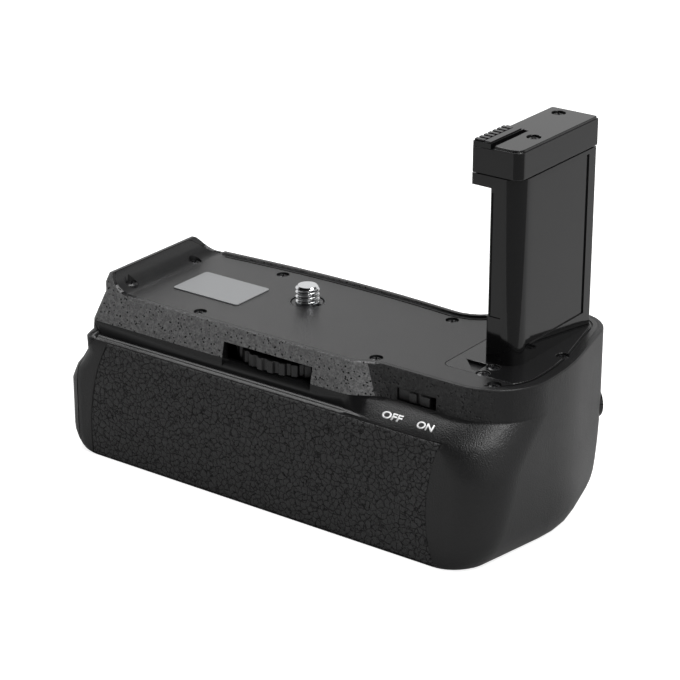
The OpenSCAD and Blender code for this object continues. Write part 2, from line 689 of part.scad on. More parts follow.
module bracket_screws() color(steel) for (s = [-1, 1])
    translate([wheel_x + s * post_x, wheel_y, bracket_z]) rotate([180, 0, 0]) screw(screw_len);

// Pillar
plate_t = 0.5;
plate_gap = 0.12;
recess_depth = 0.9;
recess_corners = [[-4.7, -1.5], [0.1, -6.4], [1.6, -6.4], [1.6, -1.5]];
tenon_wall = 1.2;
tenon_depth = 6.5;
foot_h = 12;
foot_w = 0.35;
pillar_edge = 0.6;
pillar_round = 4.5;
plate_x = pillar_x - 7.7;
plate_rear_y = pillar_y - 8.1;
pillar_bore_w = 1.7;
clamp_t = 2;
clamp_bite = 0.6;
clamp_rear_y = pillar_y - 8.2;
clamp_front_y = 12;

module pillar_tenon(gap, z0, z1) {
    translate([pillar_x + tenon_wall - gap, pillar_y + tenon_wall - gap, z0]) linear_extrude(z1 - z0)
        rounded([pillar_w - 2 * tenon_wall + 2 * gap, pillar_d - 2 * tenon_wall + 2 * gap], 1);
}

// Thin plate round the pillar's foot, flush with the deck
module base_shape(gap) {
    intersection() {
        polygon(ring(inset(deck_corners, groove_in + groove_w + 0.35 + gap)));
        translate([plate_x + gap, plate_rear_y + gap])
            rounded([grip_end_x - plate_x, bulge_y - plate_rear_y], 2);
    }
}

// Shallow recess behind the pillar's foot
module base_recess() {
    translate([pillar_x, pillar_y, -recess_depth]) linear_extrude(recess_depth + 1) polygon(recess_corners);
}

module pillar_base() color(shell_black) difference() {
    translate([0, 0, -plate_t]) linear_extrude(plate_t) base_shape(plate_gap);
    pillar_tenon(seat_gap, -1, 2);
    base_recess();
    deck_screw_holes();
}

module pillar_shaft() color(gloss_black) difference() {
    union() {
        translate([pillar_x, pillar_y, 0]) linear_extrude(pillar_h)
            corner_rounded([pillar_w, pillar_d], pillar_edge, pillar_round);
        translate([pillar_x - foot_w, pillar_y, 0]) linear_extrude(foot_h)
            corner_rounded([pillar_w + foot_w, pillar_d], pillar_edge, pillar_round);
        translate([pillar_x - cap_reach - 0.3, pillar_y, pillar_h - shelf_t]) linear_extrude(shelf_t)
            corner_rounded([cap_reach + 0.3 + pillar_w, pillar_d], pillar_edge, pillar_round);
        pillar_tenon(0, -tenon_depth, 1);
    }
    translate([pillar_x + pillar_w - 0.35, pillar_y + 6.4, 4.5]) cube([1, pillar_d - 10, pillar_h - 5.6]);
    translate([pillar_x + 0.6, pillar_y - 0.7, foot_h])
        cube([pillar_w - pillar_round - 0.8, 1, pillar_h - foot_h - 4]);
    translate([pillar_x + 1.2 + pillar_bore_w, pillar_y + 4, -tenon_depth - 1])
        cube([pillar_w - 2.4 - 2 * pillar_bore_w, pillar_d - 8, pillar_h + tenon_depth + 2]);
    for (x = [pillar_x + tenon_wall - 1, pillar_x + pillar_w - tenon_wall - clamp_bite])
        translate([x, pillar_y, -deck_t - clamp_t])
            cube([clamp_bite + 1, clamp_front_y - pillar_y, clamp_t]);
}

// Fork that slides into grooves of the tenon and pulls the pillar down on the deck
module pillar_clamp() color(nickel) translate([0, 0, -deck_t - clamp_t]) difference() {
    translate([pillar_x - 3, clamp_rear_y, 0]) linear_extrude(clamp_t)
        rounded([pillar_w + 5, clamp_front_y - clamp_rear_y], 2);
    translate([pillar_x + tenon_wall + clamp_bite - seat_gap, pillar_y + tenon_wall - seat_gap, -1])
        cube([pillar_w - 2 * (tenon_wall + clamp_bite - seat_gap), pillar_d, clamp_t + 2]);
    for (q = base_screw_at) translate([q.x, q.y, -1]) cylinder(r = screw_shank_r, h = clamp_t + 2);
}

cap_gap = 0.4;
cap_edge = 0.6;
cap_round = 2.3;
cap_x = pillar_x - cap_reach;
cap_y = pillar_y - 0.4;
cap_w = cap_reach + pillar_w + 0.1;
cap_d = pillar_d + 0.7;
block_w = 6.2;
block_d = 15.5;
block_sink = 0.9;
block_h = 0.8;
cap_screw_at = [[pillar_x - 0.8, 26], [pillar_x + 4.6, 5.9]];
cap_screw_sink = 1.2;
cap_top_z = pillar_h + cap_gap + cap_h;

module pillar_cap() color(gloss_black) difference() {
    translate([cap_x, cap_y, 0]) {
        for (s = [[0, cap_h - cap_edge, 0], [cap_h - cap_edge - 0.01, cap_edge, 0.35]])
            translate([s[2], s[2], pillar_h + cap_gap + s[0]]) linear_extrude(s[1])
                corner_rounded([cap_w - 2 * s[2], cap_d - 2 * s[2]], cap_edge, cap_round);
        translate([0.7, 0.7, pillar_h]) linear_extrude(cap_gap + 0.1)
            corner_rounded([cap_w - 1.4, cap_d - 1.4], cap_edge, cap_round);
    }
    translate([cap_x - 1, cap_y - 1, cap_top_z - block_sink])
        cube([block_w + 1, block_d + 1, block_sink + 1]);
    for (p = cap_screw_at) translate([p.x, p.y, cap_top_z - cap_screw_sink]) {
        cylinder(r = screw_head_r + 0.2, h = 3);
        translate([0, 0, -screw_len]) cylinder(r = screw_shank_r, h = screw_len + 1);
    }
}

contact_ribs = 7;
module contact_block() color(gloss_black) translate([cap_x, cap_y, cap_top_z - block_sink]) {
    translate([0.2, 0.2, 0]) cube([block_w - 1.2, block_d - 0.5, block_sink + block_h - 0.4]);
    translate([3.2, 0.6, block_sink + block_h - 0.41]) cube([block_w - 4.4, block_d - 2, 0.41]);
    for (i = [0:contact_ribs - 1])
        translate([0.3, 0.7 + i * (block_d - 2) / contact_ribs, block_sink + block_h - 0.45])
            cube([2.7, 1.1, 0.5]);
}

module pillar_screws() color(steel) for (p = cap_screw_at)
    translate([p.x, p.y, cap_top_z - cap_screw_sink]) screw(screw_len - 1);

// Switch
slider_lip = 1.2;
slider_t = 1;
switch_depth = 4.5;
module switch_slider() color(gloss_black) {
    front = step_rear_y + 0.3;
    back = step_rear_y + wall + 0.2;
    z0 = window_top_z - window_h + 0.25;
    h = window_h - 0.5;
    translate([window_x + 0.2, front, z0]) cube([window_w - switch_travel - 0.5, back - front + eps, h]);
    for (s = [[3.7, 2.2], [7, 2.8]]) translate([window_x + s[0], front - 0.6, z0 + 0.2])
        cube([s[1], 0.7, h - 0.4]);
    translate([window_x - slider_lip, back, waist_z + 0.2])
        cube([window_w + 2 * slider_lip - switch_travel, slider_t, window_top_z + 0.9 - waist_z]);
}

module switch_body() color(nickel) {
    y0 = step_rear_y + wall + 0.2 + slider_t + 0.2;
    translate([window_x - 1, y0, waist_z + 0.2])
        cube([window_w + 2, switch_depth, -deck_t - waist_z - 0.2]);
}

// Shutter release
button_proud = rim_in;
button_len = 3.7;
button_flange = 1;
cup_depth = 8;
cup_floor = 1.2;
module shutter_cup() color(gloss_black) on_shutter_axis() difference() {
    union() {
        translate([0, 0, -cup_depth]) cylinder(r = cup_r, h = cup_depth);
        translate([0, 0, -land_in - 1]) cylinder(r = cup_r + 1.2, h = 1);
    }
    translate([0, 0, -cup_depth + cup_floor]) {
        cylinder(r = shutter_r + running_gap, h = cup_depth + 2);
        cylinder(r = shutter_r + 0.7, h = cup_depth - cup_floor - button_len + button_flange + 0.2);
    }
}

module shutter_button() color(gloss_black) on_shutter_axis() difference() {
    union() {
        translate([0, 0, -button_len]) cylinder(r = shutter_r, h = button_len + button_proud);
        translate([0, 0, -button_len]) cylinder(r = shutter_r + 0.4, h = button_flange);
    }
    translate([0, 0, button_proud + 17.6]) sphere(r = 18);
}

module shutter_switch() color(nickel) on_shutter_axis() translate([0, 0, -cup_depth + cup_floor]) {
    translate([-2.5, -2.5, 0]) cube([5, 5, 1.1]);
    cylinder(r = 1.2, h = cup_depth - cup_floor - button_len - shutter_travel - 0.2);
}

// Battery chamber
module battery_tray() color(gloss_black) difference() {
    translate([tray_x, bay_y - tray_wall, floor_z])
        cube([bay_end_x + tray_end_t - tray_x, bay_w + 2 * tray_wall, tray_top_z - floor_z]);
    for (z = bay_z) {
        translate([tray_x - 1, bay_y, z]) cube([bay_end_x - tray_x + 1, bay_w, bay_h]);
        for (y = blade_y) translate([bay_end_x - 1, bay_y + y, z + blade_slot_in])
            cube([tray_end_t + 2, 1.6, bay_h - 2 * blade_slot_in]);
    }
}

module bay_contacts() color(brass) for (z = bay_z, y = blade_y) translate([0, bay_y + y + 0.3, z + blade_in])
    contact_blade();

module contact_blade() {
    blade_h = bay_h - 2 * blade_in;
    hook_x0 = bay_end_x - blade_hook;
    translate([board_x - blade_t, 0, 0]) cube([blade_t, 1, blade_h]);
    translate([hook_x0, 0, blade_h - blade_t]) cube([board_x - hook_x0, 1, blade_t]);
    translate([hook_x0, 0, 1]) cube([blade_t, 1, blade_h - 1]);
}

module circuit_board() color(board_green) translate([board_x, bay_y + 2, floor_z])
    cube([board_t, bay_w - 6, tray_top_z - floor_z - 2]);

module tripod_socket() color(brass) translate([socket_x, socket_y, base_z]) difference() {
    cylinder(r = socket_r, h = socket_h);
    translate([0, 0, -1]) cylinder(r = stud_r, h = socket_h);
}

// Door and latch
module battery_door() color(shell_black) difference() {
    union() {
        intersection() {
            housing_body();
            door_region(0, door_front_y);
        }
        for (b = barrels) translate([hinge_x, hinge_y, b[0]]) {
            cylinder(r = barrel_r, h = b[1]);
            translate([-1, -barrel_r - 2, 0]) cube([2, barrel_r + 2, b[1]]);
        }
    }
    door_pocket();
    translate([hinge_x, hinge_y, base_z]) cylinder(r = pin_r + running_gap, h = body_h);
    translate([hinge_x, hinge_y, housing_barrel[0] - moving_gap / 2])
        cylinder(r = relief_r, h = housing_barrel[1] + moving_gap);
    translate([door_end_x - 1, latch_y - latch_travel - moving_gap, latch_z - latch_h / 2 - moving_gap])
        cube([latch_recess + 1, latch_w + latch_travel + 2 * moving_gap, latch_h + 2 * moving_gap]);
    translate([door_end_x, stem_y - latch_travel - moving_gap, latch_z - stem_h / 2 - moving_gap])
        cube([door_wall + 1, stem_w + latch_travel + 2 * moving_gap, stem_h + 2 * moving_gap]);
}

// Hollow behind the flared top of the door
module door_pocket() {
    top_z = hook_z - 0.9;
    translate([0, door_front_y - door_rim, 0]) rotate([90, 0, 0])
        linear_extrude(door_front_y - door_rim - rear_y - wall - 0.2)
            polygon(concat([[hook_at + 5, top_z], [left_x(top_z) + door_skin, top_z]],
                [for (z = [face_z - 2:-2:seam_end_z]) [left_x(z) + door_skin, z]],
                [[seam_at + 1, seam_end_z - 1], [hook_at + 5, seam_end_z - 1]]));
}

module door_latch() color(gloss_black) {
    plate_x = door_end_x + 0.1;
    plate_w = latch_recess - moving_gap;
    translate([plate_x, latch_y, latch_z - latch_h / 2]) cube([plate_w, latch_w, latch_h]);
    for (i = [0:2]) translate([plate_x - 0.5, latch_y + 1.8 + i * 2.2, latch_z - 4]) cube([0.6, 1, 8]);
    translate([plate_x + plate_w - eps, stem_y, latch_z - stem_h / 2])
        cube([arm_x - plate_x - plate_w + 2 * eps, stem_w, stem_h]);
    translate([arm_x, bar_y, latch_z - arm_h / 2]) cube([arm_t, stem_y + stem_w - bar_y, arm_h]);
    translate([arm_x, bar_y, latch_z - arm_h / 2]) cube([toe_x + toe_w - arm_x, bar_t, arm_h]);
    translate([toe_x, toe_y, latch_z - arm_h / 2]) cube([toe_w, bar_y - toe_y + eps, arm_h]);
}

module door_hinge_pin() color(steel) translate([hinge_x, hinge_y, barrels[1][0] + 0.5])
    cylinder(r = pin_r, h = barrels[0][0] + barrels[0][1] - barrels[1][0] - 1);

main_shell();
deck_plate();
label_plate();
rear_grip_skin();
front_grip_skin();
pillar_base();
pillar_shaft();
pillar_cap();
contact_block();
pillar_screws();
pillar_clamp();
deck_screws();
camera_stud();
stud_clip();
stud_bush();
thumbwheel();
wheel_axle();
wheel_bracket();
bracket_screws();
switch_slider();
switch_body();
shutter_button();
shutter_cup();
shutter_switch();
battery_tray();
bay_contacts();
circuit_board();
tripod_socket();
battery_door();
door_hinge_pin();
door_latch();
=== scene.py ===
"""Look of the camera battery grip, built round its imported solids.

Sizes are in millimetres. The camera and the lamps are placed in metres.
"""
import json
import math

import bmesh
import bpy
from mathutils import Matrix, Vector
from mathutils.bvhtree import BVHTree

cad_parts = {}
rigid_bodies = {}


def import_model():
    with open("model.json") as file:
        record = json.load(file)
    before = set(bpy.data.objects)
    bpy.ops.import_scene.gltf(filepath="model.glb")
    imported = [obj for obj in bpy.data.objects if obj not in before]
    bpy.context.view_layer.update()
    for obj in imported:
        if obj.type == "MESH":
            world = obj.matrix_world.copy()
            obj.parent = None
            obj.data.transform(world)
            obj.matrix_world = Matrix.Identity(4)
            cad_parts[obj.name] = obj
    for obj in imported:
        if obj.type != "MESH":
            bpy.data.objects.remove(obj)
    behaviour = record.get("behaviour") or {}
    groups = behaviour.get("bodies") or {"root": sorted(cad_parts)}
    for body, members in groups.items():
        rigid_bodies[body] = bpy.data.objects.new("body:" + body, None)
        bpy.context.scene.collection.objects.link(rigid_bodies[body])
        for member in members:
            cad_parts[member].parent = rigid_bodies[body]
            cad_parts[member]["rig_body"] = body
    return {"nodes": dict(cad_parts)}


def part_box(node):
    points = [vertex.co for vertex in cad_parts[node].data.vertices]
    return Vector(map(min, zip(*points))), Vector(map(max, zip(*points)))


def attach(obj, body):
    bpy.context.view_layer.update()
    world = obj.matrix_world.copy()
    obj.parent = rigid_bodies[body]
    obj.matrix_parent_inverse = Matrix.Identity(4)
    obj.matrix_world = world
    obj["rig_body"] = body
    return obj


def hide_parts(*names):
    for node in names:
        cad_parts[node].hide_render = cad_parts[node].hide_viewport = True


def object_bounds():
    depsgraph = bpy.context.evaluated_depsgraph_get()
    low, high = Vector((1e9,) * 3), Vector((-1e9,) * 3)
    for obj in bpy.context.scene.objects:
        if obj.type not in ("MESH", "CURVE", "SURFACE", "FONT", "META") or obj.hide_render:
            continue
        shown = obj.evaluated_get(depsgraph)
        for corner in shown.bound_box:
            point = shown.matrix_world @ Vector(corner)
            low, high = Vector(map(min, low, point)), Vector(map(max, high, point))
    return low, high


MM = 0.001
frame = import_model()
cad_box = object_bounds()
nodes = frame["nodes"]

# Main places, the same as in the part's source
WAIST_Z = -8.4
NECK_Z = -11.4
STEP_X = 38.0
WALL_END_X = 77.0
BASE_Z = cad_box[0][2] / MM

# Screws and stud
SCREW_HEAD_R, SCREW_HEAD_H = 1.6, 0.9
SCREW_SHANK_R = 0.9
SCREW_RECESS = 0.42
STUD_R = 3.175
THREAD_PITCH = 1.27
THREAD_DEPTH = 0.62
THREAD_END_IN = 0.02
THREAD_JOIN = 0.003


# Node helpers

def add(tree, kind, **sockets):
    """A node of that kind, with its inputs set or linked by name or number."""
    node = tree.nodes.new(kind)
    for key, value in sockets.items():
        if hasattr(node, key) and not isinstance(value, bpy.types.NodeSocket):
            setattr(node, key, value)
        else:
            feed(tree, node, key, value)
    return node


def feed(tree, node, key, value):
    """Set or link one input of a node, by its name or as i0, i1 and so on."""
    name = key.replace("_", " ")
    socket = node.inputs[int(key[1:])] if key[0] == "i" and key[1:].isdigit() else node.inputs[name]
    if isinstance(value, bpy.types.NodeSocket):
        tree.links.new(value, socket)
    else:
        socket.default_value = value


def math_node(tree, operation, a, b=None, c=None):
    node = tree.nodes.new("ShaderNodeMath")
    node.operation = operation
    for slot, value in enumerate((a, b, c)):
        if value is not None:
            feed(tree, node, f"i{slot}", value)
    return node.outputs[0]


def smooth_range(tree, value, low, high, to_low=0.0, to_high=1.0):
    """A value eased from one range to another, and held at its ends."""
    node = tree.nodes.new("ShaderNodeMapRange")
    node.interpolation_type = "SMOOTHSTEP"
    feed(tree, node, "Value", value)
    for key, number in (("From Min", low), ("From Max", high), ("To Min", to_low), ("To Max", to_high)):
        node.inputs[key].default_value = number
    return node.outputs["Result"]


def blend_colour(tree, factor, a, b):
    node = tree.nodes.new("ShaderNodeMix")
    node.data_type = "RGBA"
    feed(tree, node, "i0", factor)
    for slot, value in ((6, a), (7, b)):
        if isinstance(value, bpy.types.NodeSocket):
            tree.links.new(value, node.inputs[slot])
        else:
            node.inputs[slot].default_value = (*value, 1.0)
    return node.outputs[2]


def new_group(name, inputs, outputs):
    """An empty shader node group with named float or vector sockets."""
    tree = bpy.data.node_groups.new(name, "ShaderNodeTree")
    for socket, kind, value in inputs:
        made = tree.interface.new_socket(socket, in_out="INPUT", socket_type=f"NodeSocket{kind}")
        if value is not None:
            made.default_value = value
    for socket in outputs:
        tree.interface.new_socket(socket, in_out="OUTPUT", socket_type="NodeSocketFloat")
    return tree, tree.nodes.new("NodeGroupInput").outputs, tree.nodes.new("NodeGroupOutput")


def place_group(tree, group, vector, **values):
    node = tree.nodes.new("ShaderNodeGroup")
    node.node_tree = group
    tree.links.new(vector, node.inputs["Vector"])
    for key, value in values.items():
        node.inputs[key.replace("_", " ")].default_value = value
    return node.outputs


# Shared surface effects, with noise scales per metre

def make_moulded_sand():
    """Spark-eroded mould texture: fine grains with scattered deeper pits."""
    tree, given, out = new_group("moulded_sand",
        [("Vector", "Vector", None), ("Grain Size", "Float", 0.3 * MM), ("Pit Share", "Float", 0.3)],
        ["Height", "Pits"])
    scale = math_node(tree, "DIVIDE", 1.0, given["Grain Size"])
    grain = add(tree, "ShaderNodeTexNoise", Vector=given["Vector"], Scale=scale, Detail=2.0, Roughness=0.6)
    coarse = add(tree, "ShaderNodeTexNoise", Vector=given["Vector"],
        Scale=math_node(tree, "MULTIPLY", scale, 0.4), Detail=1.0)
    cells = add(tree, "ShaderNodeTexVoronoi", Vector=given["Vector"],
        Scale=math_node(tree, "MULTIPLY", scale, 0.46))
    near = smooth_range(tree, cells.outputs["Distance"], 0.15, 0.38, 1.0, 0.0)
    chosen = smooth_range(tree, coarse.outputs[0], 0.44, 0.52)
    pits = math_node(tree, "MULTIPLY", near, chosen)
    relief = math_node(tree, "MULTIPLY_ADD", coarse.outputs[0], 0.7, grain.outputs[0])
    deep = math_node(tree, "MULTIPLY", pits, given["Pit Share"])
    feed(tree, out, "Height", math_node(tree, "SUBTRACT", relief, deep))
    feed(tree, out, "Pits", pits)
    return tree


def make_fine_mould():
    """Even satin of a polished mould, with faint cloudiness."""
    tree, given, out = new_group("fine_mould",
        [("Vector", "Vector", None), ("Grain Size", "Float", 0.2 * MM)], ["Height", "Cloud"])
    scale = math_node(tree, "DIVIDE", 1.0, given["Grain Size"])
    grain = add(tree, "ShaderNodeTexNoise", Vector=given["Vector"], Scale=scale, Detail=1.0)
    cloud = add(tree, "ShaderNodeTexNoise", Vector=given["Vector"], Scale=90.0, Detail=3.0)
    feed(tree, out, "Height", grain.outputs[0])
    feed(tree, out, "Cloud", cloud.outputs[0])
    return tree


CRACK_CELL = 1.6 * MM
CRACK_WARP = 0.6
CRACK_SIZES = (1.0, 1.9)


def crack_cells(tree, vector, cell):
    """Distances to the edges of large and small warped cells, as shares of a cell."""
    scale = math_node(tree, "DIVIDE", 1.0, cell)
    drift = add(tree, "ShaderNodeTexNoise", Vector=vector,
        Scale=math_node(tree, "MULTIPLY", scale, 0.7), Detail=2.0)
    centred = add(tree, "ShaderNodeVectorMath", operation="SUBTRACT",
        i0=drift.outputs["Color"], i1=(0.5, 0.5, 0.5))
    reach = math_node(tree, "MULTIPLY", cell, CRACK_WARP * 2.0)
    moved = add(tree, "ShaderNodeVectorMath", operation="SCALE", i0=centred.outputs[0], i3=reach)
    warped = add(tree, "ShaderNodeVectorMath", operation="ADD", i0=vector, i1=moved.outputs[0])
    found = []
    for share in CRACK_SIZES:
        cells = add(tree, "ShaderNodeTexVoronoi", feature="DISTANCE_TO_EDGE", Vector=warped.outputs[0],
            Scale=math_node(tree, "MULTIPLY", scale, share))
        found.append(cells.outputs["Distance"])
    return found


def make_cracked_leather():
    """Grain of the grip rubber: a height from 0 in a crack to 1 on a cell, and fine pores."""
    tree, given, out = new_group("cracked_leather",
        [("Vector", "Vector", None), ("Cell Size", "Float", CRACK_CELL)], ["Height", "Pores"])
    large, small = crack_cells(tree, given["Vector"], given["Cell Size"])
    broad = smooth_range(tree, large, 0.0, 0.14)
    fine = smooth_range(tree, small, 0.0, 0.15)
    height = math_node(tree, "MULTIPLY_ADD", fine, 0.38, math_node(tree, "MULTIPLY", broad, 0.62))
    feed(tree, out, "Height", height)
    pores = add(tree, "ShaderNodeTexNoise", Vector=given["Vector"], Scale=4200.0, Detail=1.0)
    feed(tree, out, "Pores", pores.outputs[0])
    return tree


SAND = make_moulded_sand()
FINE = make_fine_mould()
LEATHER = make_cracked_leather()


# Finishes

def finish_of(name):
    """A material with one Principled shader, its tree and the object's own coordinates."""
    made = bpy.data.materials.new(name)
    made.use_nodes = True
    tree = made.node_tree
    shader = tree.nodes["Principled BSDF"]
    coords = tree.nodes.new("ShaderNodeTexCoord").outputs["Object"]
    return made, tree, shader, coords


def set_shader(shader, **values):
    for key, value in values.items():
        shader.inputs[key.replace("_", " ")].default_value = value


def bump(tree, shader, height, distance):
    """Fine relief in the shading, of a height in millimetres."""
    node = add(tree, "ShaderNodeBump", Height=height, Strength=1.0, Distance=distance * MM)
    tree.links.new(node.outputs[0], shader.inputs["Normal"])


def zone(tree, coords, axis, low, high):
    """Smooth step from 0 to 1 along one axis, in millimetres."""
    split = add(tree, "ShaderNodeSeparateXYZ", Vector=coords)
    return smooth_range(tree, split.outputs[axis], low * MM, high * MM)


# Grain sizes, and where the rough wall runs out: towards the grip end, and on the
# front before the finger bulge
SHELL_GRAIN = 0.36
WALL_GRAIN = 0.42
DECK_GRAIN = 0.26
NECK_FROM_Z, NECK_TO_Z = NECK_Z - 0.9, NECK_Z - 0.5
WALL_SMOOTH_X, WALL_ROUGH_X = WALL_END_X - 1.0, WALL_END_X - 16.0
FRONT_FROM_Y, FRONT_TO_Y = 5.0, 15.0
FRONT_ROUGH_X, FRONT_SMOOTH_X = STEP_X - 16.0, STEP_X - 2.0


def make_shell_black():
    """Housing below the waist and round the grip end: a smooth neck band and a fine satin grain."""
    made, tree, shader, coords = finish_of("shell_black")
    set_shader(shader, Specular_IOR_Level=0.40)
    fine = place_group(tree, FINE, coords, Grain_Size=SHELL_GRAIN * MM)
    below = math_node(tree, "SUBTRACT", 1.0, zone(tree, coords, "Z", NECK_FROM_Z, NECK_TO_Z))
    gentle = math_node(tree, "MAXIMUM", below, zone(tree, coords, "X", STEP_X - 1.0, STEP_X + 2.0))
    bump(tree, shader, math_node(tree, "MULTIPLY", fine["Height"], gentle), 0.10)
    tone = blend_colour(tree, fine["Cloud"], (0.0055, 0.0055, 0.0058), (0.0085, 0.0085, 0.0088))
    tree.links.new(tone, shader.inputs["Base Color"])
    satin = math_node(tree, "MULTIPLY_ADD", fine["Cloud"], 0.10, 0.34)
    smoother = math_node(tree, "MULTIPLY_ADD", gentle, 0.45, 0.55)
    tree.links.new(math_node(tree, "MULTIPLY", satin, smoother), shader.inputs["Roughness"])
    return made


def make_sand_wall(name, grains, shine):
    """Rough upper wall: a painted sheen between two greys on the raised grains, and painted shade darkening
    the pits. It runs out to the shell's own satin.
    """
    made, tree, shader, coords = finish_of(name)
    set_shader(shader, Specular_IOR_Level=shine)
    sand = place_group(tree, SAND, coords, Grain_Size=WALL_GRAIN * MM, Pit_Share=1.1)
    front = math_node(tree, "MULTIPLY", zone(tree, coords, "Y", FRONT_FROM_Y, FRONT_TO_Y),
        zone(tree, coords, "X", FRONT_ROUGH_X, FRONT_SMOOTH_X))
    rough = math_node(tree, "MULTIPLY", math_node(tree, "SUBTRACT", 1.0, front),
        zone(tree, coords, "X", WALL_SMOOTH_X, WALL_ROUGH_X))
    bump(tree, shader, math_node(tree, "MULTIPLY", sand["Height"], rough), 0.20)
    # Painted sheen and shade: higher grains are coloured paler, and the pits are coloured near black
    sheen_mask = smooth_range(tree, sand["Height"], 0.55, 1.15)
    painted_sheen = blend_colour(tree, sheen_mask, grains[0], grains[1])
    sheen_and_pit_shade = blend_colour(tree, sand["Pits"], painted_sheen, (0.0015, 0.0015, 0.0015))
    tone = blend_colour(tree, rough, (0.007, 0.007, 0.0073), sheen_and_pit_shade)
    tree.links.new(tone, shader.inputs["Base Color"])
    dull = smooth_range(tree, sand["Pits"], 0.0, 1.0, 0.08, 0.37)
    tree.links.new(math_node(tree, "MULTIPLY_ADD", dull, rough, 0.38), shader.inputs["Roughness"])
    return made


def make_deck_satin(name, smoothest):
    """Even black satin of the deck, and of the polished plate round the pillar."""
    made, tree, shader, coords = finish_of(name)
    fine = place_group(tree, FINE, coords, Grain_Size=DECK_GRAIN * MM)
    bump(tree, shader, fine["Height"], 0.045)
    tone = blend_colour(tree, fine["Cloud"], (0.006, 0.006, 0.0063), (0.010, 0.010, 0.0104))
    tree.links.new(tone, shader.inputs["Base Color"])
    dull = math_node(tree, "MULTIPLY_ADD", fine["Cloud"], 0.10, smoothest)
    tree.links.new(dull, shader.inputs["Roughness"])
    return made


def make_gloss_black():
    """Polished black plastic with faint flow marks."""
    made, tree, shader, coords = finish_of("gloss_black")
    flow = add(tree, "ShaderNodeTexNoise", Vector=coords, Scale=45.0, Detail=2.0)
    bump(tree, shader, flow.outputs[0], 0.02)
    tone = blend_colour(tree, flow.outputs[0], (0.003, 0.003, 0.0032), (0.005, 0.005, 0.0053))
    tree.links.new(tone, shader.inputs["Base Color"])
    tree.links.new(math_node(tree, "MULTIPLY_ADD", flow.outputs[0], 0.05, 0.05), shader.inputs["Roughness"])
    return made


def make_grip_leather():
    """Rubber with a cracked leather grain, duller in the cracks, and painted shade colouring the cracks near
    black.
    """
    made, tree, shader, coords = finish_of("grip_leather")
    set_shader(shader, Specular_IOR_Level=0.22)
    grain = place_group(tree, LEATHER, coords, Cell_Size=CRACK_CELL)
    height = math_node(tree, "MULTIPLY_ADD", grain["Pores"], 0.22, grain["Height"])
    bump(tree, shader, height, 0.20)
    # Painted shade: the sunk cracks are coloured near black, the raised cells lighter
    tone = blend_colour(tree, grain["Height"], (0.0006, 0.0006, 0.0006), (0.054, 0.054, 0.0545))
    tree.links.new(tone, shader.inputs["Base Color"])
    tree.links.new(smooth_range(tree, grain["Height"], 0.0, 1.0, 0.8, 0.44), shader.inputs["Roughness"])
    return made


def make_metal(name, colour, low, high, stretch):
    """Bare metal with fine turning or brushing marks."""
    made, tree, shader, coords = finish_of(name)
    mapping = add(tree, "ShaderNodeMapping", Vector=coords, Scale=stretch)
    marks = add(tree, "ShaderNodeTexNoise", Vector=mapping.outputs[0], Scale=2500.0, Detail=2.0)
    set_shader(shader, Metallic=1.0)
    darker = tuple(0.86 * c for c in colour)
    tree.links.new(blend_colour(tree, marks.outputs[0], darker, colour), shader.inputs["Base Color"])
    tree.links.new(smooth_range(tree, marks.outputs[0], 0.2, 0.8, low, high), shader.inputs["Roughness"])
    bump(tree, shader, marks.outputs[0], 0.004)
    return made


def make_plain(name, dark, light, low, high, size, relief):
    """Painted, printed or moulded surface with a small even mottle."""
    made, tree, shader, coords = finish_of(name)
    mottle = add(tree, "ShaderNodeTexNoise", Vector=coords, Scale=1.0 / (size * MM), Detail=3.0)
    tree.links.new(blend_colour(tree, mottle.outputs[0], dark, light), shader.inputs["Base Color"])
    tree.links.new(smooth_range(tree, mottle.outputs[0], 0.25, 0.75, low, high), shader.inputs["Roughness"])
    bump(tree, shader, mottle.outputs[0], relief)
    return made


SHELL = make_shell_black()
# One sand finish in two copies: a lit one whose pale greys are a painted sheen, and a shaded one with dark
# greys
LIT_SAND = make_sand_wall("sand_wall", ((0.085, 0.085, 0.0855), (0.19, 0.19, 0.191)), 0.30)
SHADED_SAND = make_sand_wall("switch_wall", ((0.010, 0.010, 0.0102), (0.034, 0.034, 0.0343)), 0.40)
DECK = make_deck_satin("deck_satin", 0.25)
PLATE = make_deck_satin("plate_polish", 0.08)
GLOSS = make_gloss_black()
GRIP = make_grip_leather()
CHROME = make_metal("stud_chrome", (0.82, 0.83, 0.84), 0.06, 0.14, (1.0, 1.0, 1.0))
STEEL = make_metal("screw_steel", (0.56, 0.57, 0.58), 0.22, 0.36, (1.0, 1.0, 0.2))
NICKEL = make_metal("bracket_nickel", (0.50, 0.49, 0.47), 0.28, 0.42, (1.0, 0.1, 1.0))
BRASS = make_metal("contact_brass", (0.62, 0.47, 0.20), 0.2, 0.32, (1.0, 1.0, 0.2))
BLACK_SCREW = make_plain("black_screw", (0.012, 0.012, 0.013), (0.02, 0.02, 0.021),
    low=0.22, high=0.34, size=0.4, relief=0.006)
LABEL = make_plain("label_grey", (0.20, 0.205, 0.21), (0.25, 0.255, 0.26),
    low=0.32, high=0.44, size=0.5, relief=0.004)
BOARD = make_plain("board_green", (0.01, 0.07, 0.03), (0.015, 0.10, 0.045),
    low=0.3, high=0.4, size=1.5, relief=0.004)
PAINT = make_plain("white_lettering", (0.90, 0.90, 0.90), (0.95, 0.95, 0.95),
    low=0.4, high=0.5, size=0.3, relief=0.004)


# Piece helpers

SHARP_ANGLE = math.radians(38.0)
ROUNDED_ANGLE = math.radians(35.0)
FLAT_ANGLE = math.radians(0.2)
SAME_POINT = 0.002
SLIVER = 0.001

